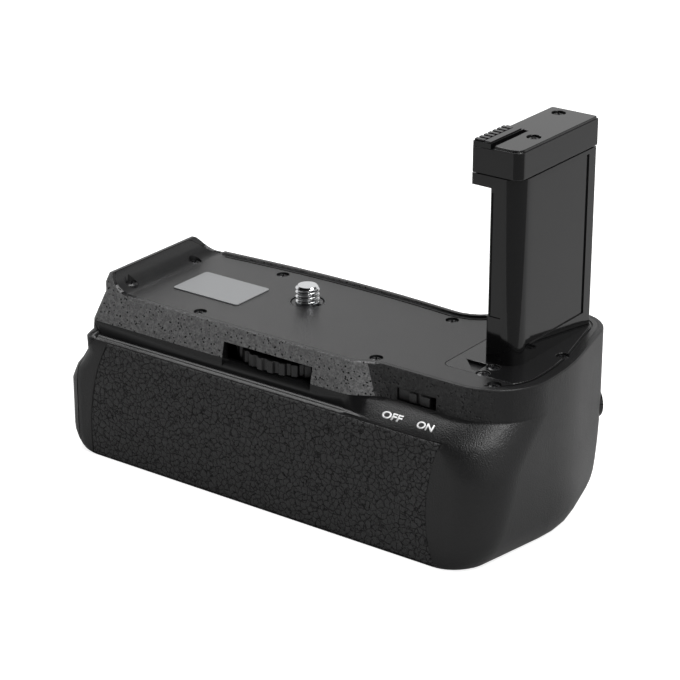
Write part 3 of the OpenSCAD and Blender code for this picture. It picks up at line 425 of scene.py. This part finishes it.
# A screw post inside the grip end, whose corner stands out of the end wall, and the
# piece of wall that it stands in
POST_CORNER = Vector((77.2, 10.8))
POST_NEAR = 0.5
POST_SLACK = 0.02
POST_WALL_X = 76.8
POST_WALL_FROM = Vector((77.496, 7.56))
POST_WALL_TO = Vector((76.378, 12.74))
POST_WALL_FOOT_Z = -22.1


def link(name, mesh):
    made = bpy.data.objects.new(name, mesh)
    bpy.context.scene.collection.objects.link(made)
    return made


def smooth_by_angle(mesh, angle=SHARP_ANGLE):
    for face in mesh.polygons:
        face.use_smooth = True
    mesh.set_sharp_from_angle(angle=angle)


def settle(piece, body, material, slot, *stands_for):
    """Give the piece its finish and hang it on its body."""
    if material is not None:
        piece.data.materials.clear()
        piece.data.materials.append(material)
    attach(piece, body)
    if stands_for:
        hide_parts(*stands_for)
    return piece


def baked(piece):
    """The piece's mesh with its modifiers worked in."""
    graph = bpy.context.evaluated_depsgraph_get()
    mesh = bpy.data.meshes.new_from_object(piece.evaluated_get(graph))
    old = piece.data
    piece.modifiers.clear()
    piece.data = mesh
    mesh.name = piece.name
    bpy.data.meshes.remove(old)
    return piece


def merged(node):
    """A joined-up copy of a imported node's triangles, for reading and cutting."""
    work = bmesh.new()
    work.from_mesh(nodes[node].data)
    bmesh.ops.remove_doubles(work, verts=work.verts, dist=SAME_POINT * MM)
    bmesh.ops.dissolve_degenerate(work, dist=SLIVER * MM, edges=work.edges)
    return work


def flush_end_post(work):
    """Bring the post's corner back to the end wall, and make that piece of wall one face."""
    def away(corner):
        return (corner.co.xy / MM - POST_CORNER).length

    near = [corner for corner in work.verts if away(corner) < POST_NEAR]
    for corner in near:
        if away(corner) < POST_SLACK:
            corner.co.x = POST_WALL_X * MM
    bmesh.ops.remove_doubles(work, verts=near, dist=POST_SLACK * MM)
    along = POST_WALL_TO - POST_WALL_FROM

    def on_wall(corner):
        offset = corner.co.xy / MM - POST_WALL_FROM
        share = offset.dot(along) / along.length_squared
        in_line = (offset - along * share).length < POST_SLACK and -POST_SLACK < share < 1.0 + POST_SLACK
        return in_line and corner.co.z > POST_WALL_FOOT_Z * MM

    wall = [face for face in work.faces if all(on_wall(corner) for corner in face.verts)]
    bmesh.ops.dissolve_faces(work, faces=wall, use_verts=True)


def solid_copy(node, name, top=None):
    """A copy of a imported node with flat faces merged, cut off and closed above a height if one is given."""
    work = merged(node)
    if node == "main_shell":
        flush_end_post(work)
    if top is not None:
        bmesh.ops.bisect_plane(work, geom=work.verts[:] + work.edges[:] + work.faces[:],
            plane_co=(0.0, 0.0, top * MM), plane_no=(0.0, 0.0, 1.0), clear_outer=True)
        rim = [edge for edge in work.edges if edge.is_boundary]
        bmesh.ops.holes_fill(work, edges=rim, sides=0)
    bmesh.ops.dissolve_limit(work, angle_limit=FLAT_ANGLE, verts=work.verts, edges=work.edges)
    mesh = bpy.data.meshes.new(name)
    work.to_mesh(mesh)
    work.free()
    return link(name, mesh)


def round_off(piece, edge, steps=2):
    """Round the sharp edges by a radius, and keep flat faces flat in the shading."""
    smooth_by_angle(piece.data)
    if edge > 0.0:
        rounding = piece.modifiers.new("edges", "BEVEL")
        rounding.width = edge * MM
        rounding.segments = steps
        rounding.limit_method = "ANGLE"
        rounding.angle_limit = ROUNDED_ANGLE
        rounding.use_clamp_overlap = True
    shading = piece.modifiers.new("shading", "WEIGHTED_NORMAL")
    shading.keep_sharp = True
    return baked(piece)


def dress(node, material, slot, edge, steps=2):
    """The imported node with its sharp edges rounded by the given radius."""
    piece = round_off(solid_copy(node, node + "_look"), edge, steps)
    return settle(piece, nodes[node]["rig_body"], material, slot, node)


def grid_mesh(name, rows):
    """A sheet of quads through rows of points, in millimetres."""
    count = len(rows[0])
    points = [Vector(p) * MM for row in rows for p in row]
    faces = [(r * count + c, r * count + c + 1, (r + 1) * count + c + 1, (r + 1) * count + c)
             for r in range(len(rows) - 1) for c in range(count - 1)]
    mesh = bpy.data.meshes.new(name)
    mesh.from_pydata(points, [], faces)
    return mesh


# Geometry trees

def geometry_tree(name, inputs):
    """An empty geometry tree with a mesh and named sizes going in, and a mesh coming out."""
    tree = bpy.data.node_groups.new(name, "GeometryNodeTree")
    tree.interface.new_socket("Geometry", in_out="INPUT", socket_type="NodeSocketGeometry")
    for socket, kind in inputs:
        tree.interface.new_socket(socket, in_out="INPUT", socket_type=f"NodeSocket{kind}")
    tree.interface.new_socket("Geometry", in_out="OUTPUT", socket_type="NodeSocketGeometry")
    return tree, tree.nodes.new("NodeGroupInput").outputs, tree.nodes.new("NodeGroupOutput")


def close_tree(tree, out, geometry, finish):
    """End the tree with plain geometry in its finish."""
    whole = add(tree, "GeometryNodeRealizeInstances", Geometry=geometry).outputs[0]
    coated = add(tree, "GeometryNodeSetMaterial", Geometry=whole, Material=finish).outputs[0]
    feed(tree, out, "Geometry", coated)


def grown(name, mesh, tree, **values):
    """The plain mesh piece that a geometry tree makes from a mesh, with the tree's inputs set."""
    piece = link(name, mesh)
    maker = piece.modifiers.new("maker", "NODES")
    maker.node_group = tree
    for item in tree.interface.items_tree:
        key = item.name.replace(" ", "_")
        if item.in_out == "INPUT" and key in values:
            maker[item.identifier] = values[key]
    return baked(piece)


def moved(tree, geometry, x=0.0, y=0.0, z=0.0):
    """The geometry shifted by plain numbers or sockets."""
    shift = add(tree, "ShaderNodeCombineXYZ", X=x, Y=y, Z=z).outputs[0]
    return add(tree, "GeometryNodeTransform", Geometry=geometry, Translation=shift).outputs[0]


def make_screw_tree():
    """Domed screw heads with a cross recess, on shanks, one on each point and turned at random."""
    tree, given, out = geometry_tree("cross_head_screws", [("Head Radius", "Float"), ("Head Height", "Float"),
        ("Shank Radius", "Float"), ("Shank Length", "Float"), ("Recess Width", "Float"), ("Flip", "Float"),
        ("Seed", "Int"), ("Finish", "Material")])
    head = add(tree, "GeometryNodeMeshCylinder", Vertices=36, Side_Segments=3, Fill_Segments=4,
        Radius=given["Head Radius"], Depth=given["Head Height"]).outputs["Mesh"]
    head = moved(tree, head, z=math_node(tree, "MULTIPLY", given["Head Height"], 0.5))
    place = tree.nodes.new("GeometryNodeInputPosition").outputs[0]
    split = add(tree, "ShaderNodeSeparateXYZ", Vector=place).outputs
    flat = add(tree, "ShaderNodeCombineXYZ", X=split["X"], Y=split["Y"]).outputs[0]
    reach = add(tree, "ShaderNodeVectorMath", operation="LENGTH", i0=flat).outputs["Value"]
    outward = math_node(tree, "POWER", math_node(tree, "DIVIDE", reach, given["Head Radius"]), 4.0)
    drop = math_node(tree, "MULTIPLY", math_node(tree, "MULTIPLY", outward, split["Z"]), -0.35)
    domed = add(tree, "GeometryNodeSetPosition", Geometry=head,
        Offset=add(tree, "ShaderNodeCombineXYZ", Z=drop).outputs[0]).outputs[0]
    span = math_node(tree, "MULTIPLY", given["Head Radius"], 1.25)
    for wide, deep in ((span, given["Recess Width"]), (given["Recess Width"], span)):
        size = add(tree, "ShaderNodeCombineXYZ", X=wide, Y=deep, Z=given["Head Height"]).outputs[0]
        bar = add(tree, "GeometryNodeMeshCube", Size=size).outputs["Mesh"]
        bar = moved(tree, bar, z=math_node(tree, "MULTIPLY", given["Head Height"], 0.95))
        cut = tree.nodes.new("GeometryNodeMeshBoolean")
        cut.operation = "DIFFERENCE"
        tree.links.new(domed, cut.inputs["Mesh 1"])
        tree.links.new(bar, cut.inputs["Mesh 2"])
        domed = cut.outputs["Mesh"]
    shank = add(tree, "GeometryNodeMeshCylinder", Vertices=16, Radius=given["Shank Radius"],
        Depth=given["Shank Length"]).outputs["Mesh"]
    shank = moved(tree, shank, z=math_node(tree, "MULTIPLY", given["Shank Length"], -0.5))
    whole = tree.nodes.new("GeometryNodeJoinGeometry")
    tree.links.new(domed, whole.inputs[0])
    tree.links.new(shank, whole.inputs[0])
    spin = tree.nodes.new("FunctionNodeRandomValue")
    spin.data_type = "FLOAT"
    low, high = [socket for socket in spin.inputs if socket.enabled and socket.name in ("Min", "Max")]
    low.default_value, high.default_value = 0.0, math.pi
    tree.links.new(given["Seed"], spin.inputs["Seed"])
    turned = [socket for socket in spin.outputs if socket.enabled][0]
    turn = add(tree, "ShaderNodeCombineXYZ", X=given["Flip"], Z=turned).outputs[0]
    copies = add(tree, "GeometryNodeInstanceOnPoints", Points=given["Geometry"], Instance=whole.outputs[0],
        Rotation=turn).outputs[0]
    close_tree(tree, out, copies, given["Finish"])
    return tree


def make_thread_tree():
    """A threaded stud with a chamfered tip, closed at both ends."""
    around, rows = 72, 110
    tree, given, out = geometry_tree("stud_thread", [("Major Radius", "Float"), ("Minor Radius", "Float"),
        ("End Radius", "Float"), ("Pitch", "Float"), ("Height", "Float"), ("Finish", "Material")])
    sheet = add(tree, "GeometryNodeMeshGrid", Size_X=1.0, Size_Y=1.0,
        Vertices_X=around + 1, Vertices_Y=rows).outputs["Mesh"]
    start = tree.nodes.new("GeometryNodeInputPosition").outputs[0]
    place = add(tree, "ShaderNodeSeparateXYZ", Vector=start).outputs
    share = math_node(tree, "ADD", place["X"], 0.5)
    angle = math_node(tree, "MULTIPLY", share, 2.0 * math.pi)
    height = math_node(tree, "MULTIPLY", math_node(tree, "ADD", place["Y"], 0.5), given["Height"])
    turns = math_node(tree, "SUBTRACT", math_node(tree, "DIVIDE", height, given["Pitch"]), share)
    wave = math_node(tree, "MULTIPLY", math_node(tree, "PINGPONG", turns, 0.5), 2.0)
    crest = smooth_range(tree, wave, 0.15, 0.80)
    depth = math_node(tree, "SUBTRACT", given["Major Radius"], given["Minor Radius"])
    radius = math_node(tree, "MULTIPLY_ADD", crest, depth, given["Minor Radius"])
    tip = math_node(tree, "ADD", given["End Radius"], math_node(tree, "SUBTRACT", given["Height"], height))
    foot = math_node(tree, "MULTIPLY_ADD", height, 1.6, given["End Radius"])
    radius = math_node(tree, "MINIMUM", radius, math_node(tree, "MINIMUM", tip, foot))
    across = math_node(tree, "MULTIPLY", radius, math_node(tree, "COSINE", angle))
    along = math_node(tree, "MULTIPLY", radius, math_node(tree, "SINE", angle))
    point = add(tree, "ShaderNodeCombineXYZ", X=across, Y=along, Z=height).outputs[0]
    wall = add(tree, "GeometryNodeSetPosition", Geometry=sheet, Position=point).outputs[0]
    disc = add(tree, "GeometryNodeMeshCircle", fill_type="NGON", Vertices=around,
        Radius=given["End Radius"]).outputs[0]
    under = add(tree, "GeometryNodeFlipFaces", Mesh=disc).outputs[0]
    whole = tree.nodes.new("GeometryNodeJoinGeometry")
    for shape in (wall, moved(tree, disc, z=given["Height"]), under):
        tree.links.new(shape, whole.inputs[0])
    joined = add(tree, "GeometryNodeMergeByDistance", Geometry=whole.outputs[0],
        Distance=THREAD_JOIN * MM).outputs[0]
    close_tree(tree, out, joined, given["Finish"])
    return tree


def make_leather_tree():
    """Cells of the cracked grain raised as soft pads, with the cracks sunk between them."""
    tree, given, out = geometry_tree("leather_relief", [("Cell Size", "Float"), ("Relief", "Float"),
        ("Back Y", "Float"), ("Finish", "Material")])
    place = tree.nodes.new("GeometryNodeInputPosition").outputs[0]
    large, small = crack_cells(tree, place, given["Cell Size"])
    pads = math_node(tree, "MULTIPLY_ADD", smooth_range(tree, small, 0.0, 0.22), 0.3,
        math_node(tree, "MULTIPLY", smooth_range(tree, large, 0.0, 0.26), 0.7))
    sunk = math_node(tree, "MULTIPLY", math_node(tree, "SUBTRACT", 1.0, pads), given["Relief"])
    depth = add(tree, "ShaderNodeSeparateXYZ", Vector=place).outputs["Y"]
    front = math_node(tree, "LESS_THAN", depth, given["Back Y"])
    shaped = add(tree, "GeometryNodeSetPosition", Geometry=given["Geometry"], Selection=front,
        Offset=add(tree, "ShaderNodeCombineXYZ", Y=sunk).outputs[0]).outputs[0]
    close_tree(tree, out, shaped, given["Finish"])
    return tree


SCREWS = make_screw_tree()
THREAD = make_thread_tree()
RELIEF = make_leather_tree()


def islands(node):
    """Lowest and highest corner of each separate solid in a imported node."""
    work = merged(node)
    waiting = set(work.verts)
    found = []
    while waiting:
        front = [waiting.pop()]
        corners = []
        while front:
            vert = front.pop()
            corners.append(vert.co.copy())
            near = {edge.other_vert(vert) for edge in vert.link_edges} & waiting
            waiting -= near
            front.extend(near)
        found.append([Vector([pick(c[i] for c in corners) for i in range(3)]) for pick in (min, max)])
    work.free()
    return sorted(found, key=lambda box: tuple(box[0]))


def make_screws(node, material, slot, seed, upside_down=False):
    """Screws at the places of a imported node's screws, which are all of one length."""
    head = SCREW_HEAD_H * MM
    seats = []
    for low, high in islands(node):
        middle = (low + high) / 2.0
        seats.append((middle.x, middle.y, low.z + head if upside_down else high.z - head))
        length = high.z - low.z - head
    mesh = bpy.data.meshes.new(node + "_seats")
    mesh.from_pydata(seats, [], [])
    piece = grown(node + "_look", mesh, SCREWS, Head_Radius=SCREW_HEAD_R * MM, Head_Height=head,
        Shank_Radius=SCREW_SHANK_R * MM, Shank_Length=length, Recess_Width=SCREW_RECESS * MM,
        Flip=math.pi if upside_down else 0.0, Seed=seed, Finish=material)
    smooth_by_angle(piece.data)
    return settle(piece, nodes[node]["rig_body"], None, slot, node)


# Housing and deck

SKIN_STEP = 0.28
EDGE_ROUND = 0.55
EDGE_DROP = 0.34
EDGE_ROWS = (0.0, 0.06, 0.16, 0.3, 0.5)
SKIN_RELIEF = 0.14
SKIN_BACK = 0.2
SKIN_ANGLE = math.radians(60.0)


def spread(low, high):
    """Places from low to high, close together near both ends and even between them."""
    inner_low, inner_high = low + EDGE_ROUND, high - EDGE_ROUND
    count = round((inner_high - inner_low) / SKIN_STEP)
    even = [inner_low + (inner_high - inner_low) * i / count for i in range(count + 1)]
    return [low + d for d in EDGE_ROWS] + even + [high - d for d in reversed(EDGE_ROWS)]


def between(chain, z):
    """Place along a chain of (z, x) pairs at height z."""
    for (z0, x0), (z1, x1) in zip(chain, chain[1:]):
        if z <= z1:
            return x0 + (x1 - x0) * (z - z0) / (z1 - z0)
    return chain[-1][1]


def make_rear_skin():
    """The leather pad on the rear face, as a closed sheet whose rim rolls down into its pocket."""
    low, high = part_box("rear_grip_skin")
    front_y, back_y = low[1] / MM, high[1] / MM
    corners = [vert.co / MM for vert in nodes["rear_grip_skin"].data.vertices]
    rim = [p for p in corners if p.y < front_y + 0.01]
    sides = [sorted({(round(p.z, 3), round(p.x, 3)) for p in rim if p.x * side > 0.0})
        for side in (-1.0, 1.0)]
    heights = spread(low[2] / MM, high[2] / MM)
    columns = len(spread(low[0] / MM, high[0] / MM))
    rows = []
    for z in heights:
        ends = [between(chain, z) for chain in sides]
        inner = [ends[0] + EDGE_ROUND, ends[1] - EDGE_ROUND]
        even = columns - 2 * len(EDGE_ROWS)
        places = [ends[0] + d for d in EDGE_ROWS]
        places += [inner[0] + (inner[1] - inner[0]) * i / (even - 1) for i in range(even)]
        places += [ends[1] - d for d in reversed(EDGE_ROWS)]
        row = []
        for x in places:
            inside = min(x - ends[0], ends[1] - x, z - heights[0], heights[-1] - z, EDGE_ROUND)
            fall = 1.0 - inside / EDGE_ROUND
            row.append((x, front_y + EDGE_DROP * (1.0 - math.sqrt(1.0 - fall * fall)), z))
        rows.append(row)
    mesh = grid_mesh("rear_grip_skin_look", rows)
    work = bmesh.new()
    work.from_mesh(mesh)
    border = [edge for edge in work.edges if edge.is_boundary]
    for item in bmesh.ops.extrude_edge_only(work, edges=border)["geom"]:
        if isinstance(item, bmesh.types.BMVert):
            item.co.y = back_y * MM
    bmesh.ops.holes_fill(work, edges=[edge for edge in work.edges if edge.is_boundary], sides=0)
    bmesh.ops.recalc_face_normals(work, faces=work.faces)
    work.to_mesh(mesh)
    work.free()
    piece = grown("rear_grip_skin_look", mesh, RELIEF, Cell_Size=CRACK_CELL, Relief=SKIN_RELIEF * MM,
        Back_Y=(back_y - SKIN_BACK) * MM, Finish=GRIP)
    smooth_by_angle(piece.data, SKIN_ANGLE)
    settle(piece, "housing", None, "grip_rubber", "rear_grip_skin")


# The shoulder under the switch, which carries the two words
SHOULDER_Y, SHOULDER_Z = -25.7, -8.6
SHOULDER_OUT = Vector((0.0, -0.608, 0.794))
SHOULDER_UP = Vector((0.0, 0.794, 0.608))
LETTER_HEIGHT = 2.05
LETTER_LIFT = 0.02
LETTER_WEIGHT = 0.028
LETTER_DOWN = 2.8
LETTERS_FROM = 2.0


def make_word(word, centre_x, width):
    """A printed word on the shoulder, centred at an X and so wide."""
    curve = bpy.data.curves.new("switch_" + word.lower(), "FONT")
    curve.body = word
    curve.offset = LETTER_WEIGHT
    curve.resolution_u = 6
    text = link("switch_" + word.lower(), curve)
    graph = bpy.context.evaluated_depsgraph_get()
    mesh = bpy.data.meshes.new_from_object(text.evaluated_get(graph))
    bpy.data.objects.remove(text)
    bpy.data.curves.remove(curve)
    spans = [[pick(v.co[i] for v in mesh.vertices) for pick in (min, max)] for i in range(2)]
    housing = merged("main_shell")
    surface = BVHTree.FromBMesh(housing)
    start = Vector((centre_x, SHOULDER_Y, SHOULDER_Z)) - LETTER_DOWN * SHOULDER_UP
    for vert in mesh.vertices:
        across, along = [(vert.co[i] - sum(spans[i]) / 2.0) / (spans[i][1] - spans[i][0]) for i in range(2)]
        flat = start + Vector((across * width, 0.0, 0.0)) + along * LETTER_HEIGHT * SHOULDER_UP
        above = flat + LETTERS_FROM * SHOULDER_OUT
        hit = surface.ray_cast(above * MM, -SHOULDER_OUT)[0]
        vert.co = hit + LETTER_LIFT * MM * SHOULDER_OUT
    housing.free()
    piece = link("switch_" + word.lower(), mesh)
    thick = piece.modifiers.new("print", "SOLIDIFY")
    thick.thickness = 2.0 * LETTER_LIFT * MM
    thick.offset = -1.0
    baked(piece)
    settle(piece, "housing", PAINT, "label")


# Faces of the rough wall look sideways, and not to the grip end. Left of the step, faces that don't
# look to the front take the lit sand copy with its painted sheen; the rest take the shaded copy
WALL_LEVEL = 0.9
WALL_TURN = 0.75
LIT_FACE_FRONT = 0.5


def make_housing():
    shell = dress("main_shell", SHELL, "shell", edge=0.0)
    shell.data.materials.append(LIT_SAND)
    shell.data.materials.append(SHADED_SAND)
    # Painted light and shade by face direction: lit sand copy on the faces left of the step that don't look
    # to the front, shaded copy on the others
    for face in shell.data.polygons:
        middle = face.center / MM
        if middle.z > WAIST_Z and abs(face.normal.z) < WALL_LEVEL and face.normal.x < WALL_TURN:
            face.material_index = 1 if middle.x < STEP_X and face.normal.y < LIT_FACE_FRONT else 2
    dress("deck_plate", DECK, "shell", edge=0.18)
    dress("pillar_base", PLATE, "shell", edge=0.10)
    dress("label_plate", LABEL, "label", edge=0.05)
    dress("battery_door", SHELL, "shell", edge=0.0)
    dress("door_latch", GLOSS, "gloss", edge=0.2)
    dress("front_grip_skin", GRIP, "grip_rubber", edge=0.25)
    make_rear_skin()
    make_word("OFF", centre_x=46.95, width=5.9)
    make_word("ON", centre_x=56.7, width=4.8)


def make_pillar():
    dress("pillar_shaft", GLOSS, "gloss", edge=0.25, steps=3)
    dress("pillar_cap", GLOSS, "gloss", edge=0.3, steps=3)
    dress("contact_block", GLOSS, "gloss", edge=0.12)


def make_stud():
    """The stud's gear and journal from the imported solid, and its thread above the deck."""
    body = nodes["camera_stud"]["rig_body"]
    drive = round_off(solid_copy("camera_stud", "camera_stud_look", top=0.0), 0.05)
    settle(drive, body, CHROME, "chrome", "camera_stud")
    mesh = bpy.data.meshes.new("stud_axis")
    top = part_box("camera_stud")[1][2]
    thread = grown("stud_thread", mesh, THREAD, Major_Radius=STUD_R * MM,
        Minor_Radius=(STUD_R - THREAD_DEPTH) * MM, End_Radius=(STUD_R - THREAD_DEPTH - THREAD_END_IN) * MM,
        Pitch=THREAD_PITCH * MM, Height=top, Finish=CHROME)
    smooth_by_angle(thread.data)
    settle(thread, body, None, "chrome")


def make_controls():
    dress("thumbwheel", DECK, "shell", edge=0.15)
    dress("switch_slider", DECK, "shell", edge=0.15)
    dress("shutter_button", GLOSS, "gloss", edge=0.25, steps=3)
    dress("shutter_cup", GLOSS, "gloss", edge=0.2)
    dress("stud_clip", BLACK_SCREW, "black_screw", edge=0.05)
    dress("stud_bush", BLACK_SCREW, "black_screw", edge=0.05)
    make_stud()


def make_inside():
    for node, material, slot in (("battery_tray", GLOSS, "gloss"), ("bay_contacts", BRASS, "brass"),
            ("circuit_board", BOARD, "board"), ("tripod_socket", BRASS, "brass"),
            ("wheel_axle", STEEL, "steel"), ("wheel_bracket", NICKEL, "nickel"),
            ("pillar_clamp", NICKEL, "nickel"), ("switch_body", NICKEL, "nickel"),
            ("shutter_switch", NICKEL, "nickel"), ("door_hinge_pin", STEEL, "steel")):
        dress(node, material, slot, edge=0.1)
    make_screws("deck_screws", BLACK_SCREW, "black_screw", seed=4)
    make_screws("pillar_screws", BLACK_SCREW, "black_screw", seed=7)
    make_screws("bracket_screws", STEEL, "steel", seed=2, upside_down=True)


make_housing()
make_pillar()
make_controls()
make_inside()


# Stage

def aim(place, towards):
    """Matrix of a lamp at place that shines towards a point."""
    back = (Vector(place) - Vector(towards)).normalized()
    turn = back.to_track_quat("Z", "Y").to_matrix().to_4x4()
    return Matrix.Translation(place) @ turn


def softbox(name, place, towards, size, watts):
    """A rectangular soft lamp, hung at a place and turned towards a point."""
    lamp = bpy.data.lights.new(name, "AREA")
    lamp.shape = "RECTANGLE"
    lamp.size, lamp.size_y = size
    lamp.energy = watts
    made = bpy.data.objects.new(name, lamp)
    bpy.context.scene.collection.objects.link(made)
    made.matrix_world = aim(place, towards)


def make_camera():
    """The camera, as fitted to the long edges in the photo."""
    lens = bpy.data.cameras.new("photo_camera")
    lens.sensor_width = 36.0
    lens.lens = 131.24
    lens.clip_start, lens.clip_end = 0.01, 20.0
    made = bpy.data.objects.new("photo_camera", lens)
    bpy.context.scene.collection.objects.link(made)
    place = (0.3639, -0.4805, 0.2399)
    right = Vector((0.8056, 0.5924, 0.0))
    up = Vector((-0.2277, 0.3096, 0.9232))
    back = Vector((0.5469, -0.7437, 0.3843))
    turn = Matrix((right, up, back)).transposed().to_4x4()
    made.matrix_world = Matrix.Translation(place) @ turn
    bpy.context.scene.camera = made


# Light of the room, of the dark flag in it, and of what is below the floor and overhead
# as shares of the room's
ROOM_LIGHT = 0.83
FLAG_LIGHT = 0.05
FLAG_WAY = (0.0, -0.61, 0.79)
FLAG_FROM, FLAG_TO = 0.50, 0.74
UNDER_LIGHT = 0.35
UNDER_FROM, UNDER_TO = -0.10, -0.02
CEILING_LIGHT = 0.12
BACKDROP_TOP, CEILING_FROM = 0.42, 0.58

# The table: how bright it is seen and mirrored, its drop below the part, and its near edge
FLOOR_SHOWN = 0.85
FLOOR_MIRRORED = 0.02
FLOOR_GAP = 0.02
FLOOR_REACH = 3000.0
TABLE_EDGE = 160.0
TABLE_EDGE_WAY = Vector((0.8, -0.6))
TABLE_SIDE_WAY = Vector((0.6, 0.8))


def make_world():
    """White backdrop with a dark ceiling, a dark flag above the viewer and dim light below.

    The camera sees it as white everywhere.
    """
    world = bpy.data.worlds.new("white_room")
    bpy.context.scene.world = world
    world.use_nodes = True
    tree = world.node_tree
    shine = tree.nodes["Background"]
    way = tree.nodes.new("ShaderNodeTexCoord").outputs["Generated"]
    facing = add(tree, "ShaderNodeVectorMath", operation="DOT_PRODUCT",
        i0=way, i1=FLAG_WAY).outputs["Value"]
    room = smooth_range(tree, facing, FLAG_FROM, FLAG_TO, ROOM_LIGHT, FLAG_LIGHT)
    height = add(tree, "ShaderNodeSeparateXYZ", Vector=way).outputs["Z"]
    for low, high, start, end in ((UNDER_FROM, UNDER_TO, UNDER_LIGHT, 1.0),
            (BACKDROP_TOP, CEILING_FROM, 1.0, CEILING_LIGHT)):
        room = math_node(tree, "MULTIPLY", room, smooth_range(tree, height, low, high, start, end))
    path = tree.nodes.new("ShaderNodeLightPath").outputs
    seen = math_node(tree, "MAXIMUM", path["Is Camera Ray"], path["Is Transmission Ray"])
    tree.links.new(math_node(tree, "MAXIMUM", room, seen), shine.inputs["Strength"])
    shine.inputs["Color"].default_value = (1.0, 1.0, 1.0, 1.0)


def make_floor():
    """A pale table top, cut off beyond the grip's corner so that the pillar mirrors its edge."""
    edge = TABLE_EDGE_WAY * TABLE_EDGE
    side = TABLE_SIDE_WAY * FLOOR_REACH
    far = TABLE_EDGE_WAY * -FLOOR_REACH
    corners = [[edge - side, edge + side], [edge - side + far, edge + side + far]]
    mesh = grid_mesh("floor", [[(p.x, p.y, BASE_Z - FLOOR_GAP) for p in row] for row in corners])
    mesh.flip_normals()
    floor = link("floor", mesh)
    made, tree, shader, coords = finish_of("pale_floor")
    set_shader(shader, Roughness=0.8)
    paper = add(tree, "ShaderNodeTexNoise", Vector=coords, Scale=60.0)
    tree.links.new(blend_colour(tree, paper.outputs[0], (0.50, 0.50, 0.50), (0.52, 0.52, 0.52)),
        shader.inputs["Base Color"])
    path = tree.nodes.new("ShaderNodeLightPath").outputs
    seen = math_node(tree, "MAXIMUM", path["Is Camera Ray"], path["Is Transmission Ray"])
    glow = math_node(tree, "MULTIPLY_ADD", path["Is Glossy Ray"], FLOOR_MIRRORED,
        math_node(tree, "MULTIPLY", seen, FLOOR_SHOWN))
    tree.links.new(glow, shader.inputs["Emission Strength"])
    shader.inputs["Emission Color"].default_value = (1.0, 1.0, 1.0, 1.0)
    mesh.materials.append(made)


# What the lamps are turned towards
BODY_MIDDLE = (0.02, 0.0, -0.01)
GRIP_CORNER = (0.05, 0.0, -0.02)

make_camera()
make_world()
make_floor()
softbox("overhead_softbox", (0.0, 0.20, 0.97), BODY_MIDDLE, size=(1.75, 0.42), watts=9.5)
softbox("edge_softbox", (-0.60, 0.50, 0.77), BODY_MIDDLE, size=(0.26, 0.24), watts=1.5)
softbox("corner_softbox", (0.66, -0.17, 0.80), GRIP_CORNER, size=(0.26, 0.22), watts=4.6)
softbox("low_corner_softbox", (0.56, -0.50, 0.72), GRIP_CORNER, size=(0.20, 0.20), watts=1.0)

bpy.context.scene.view_settings.view_transform = "Standard"
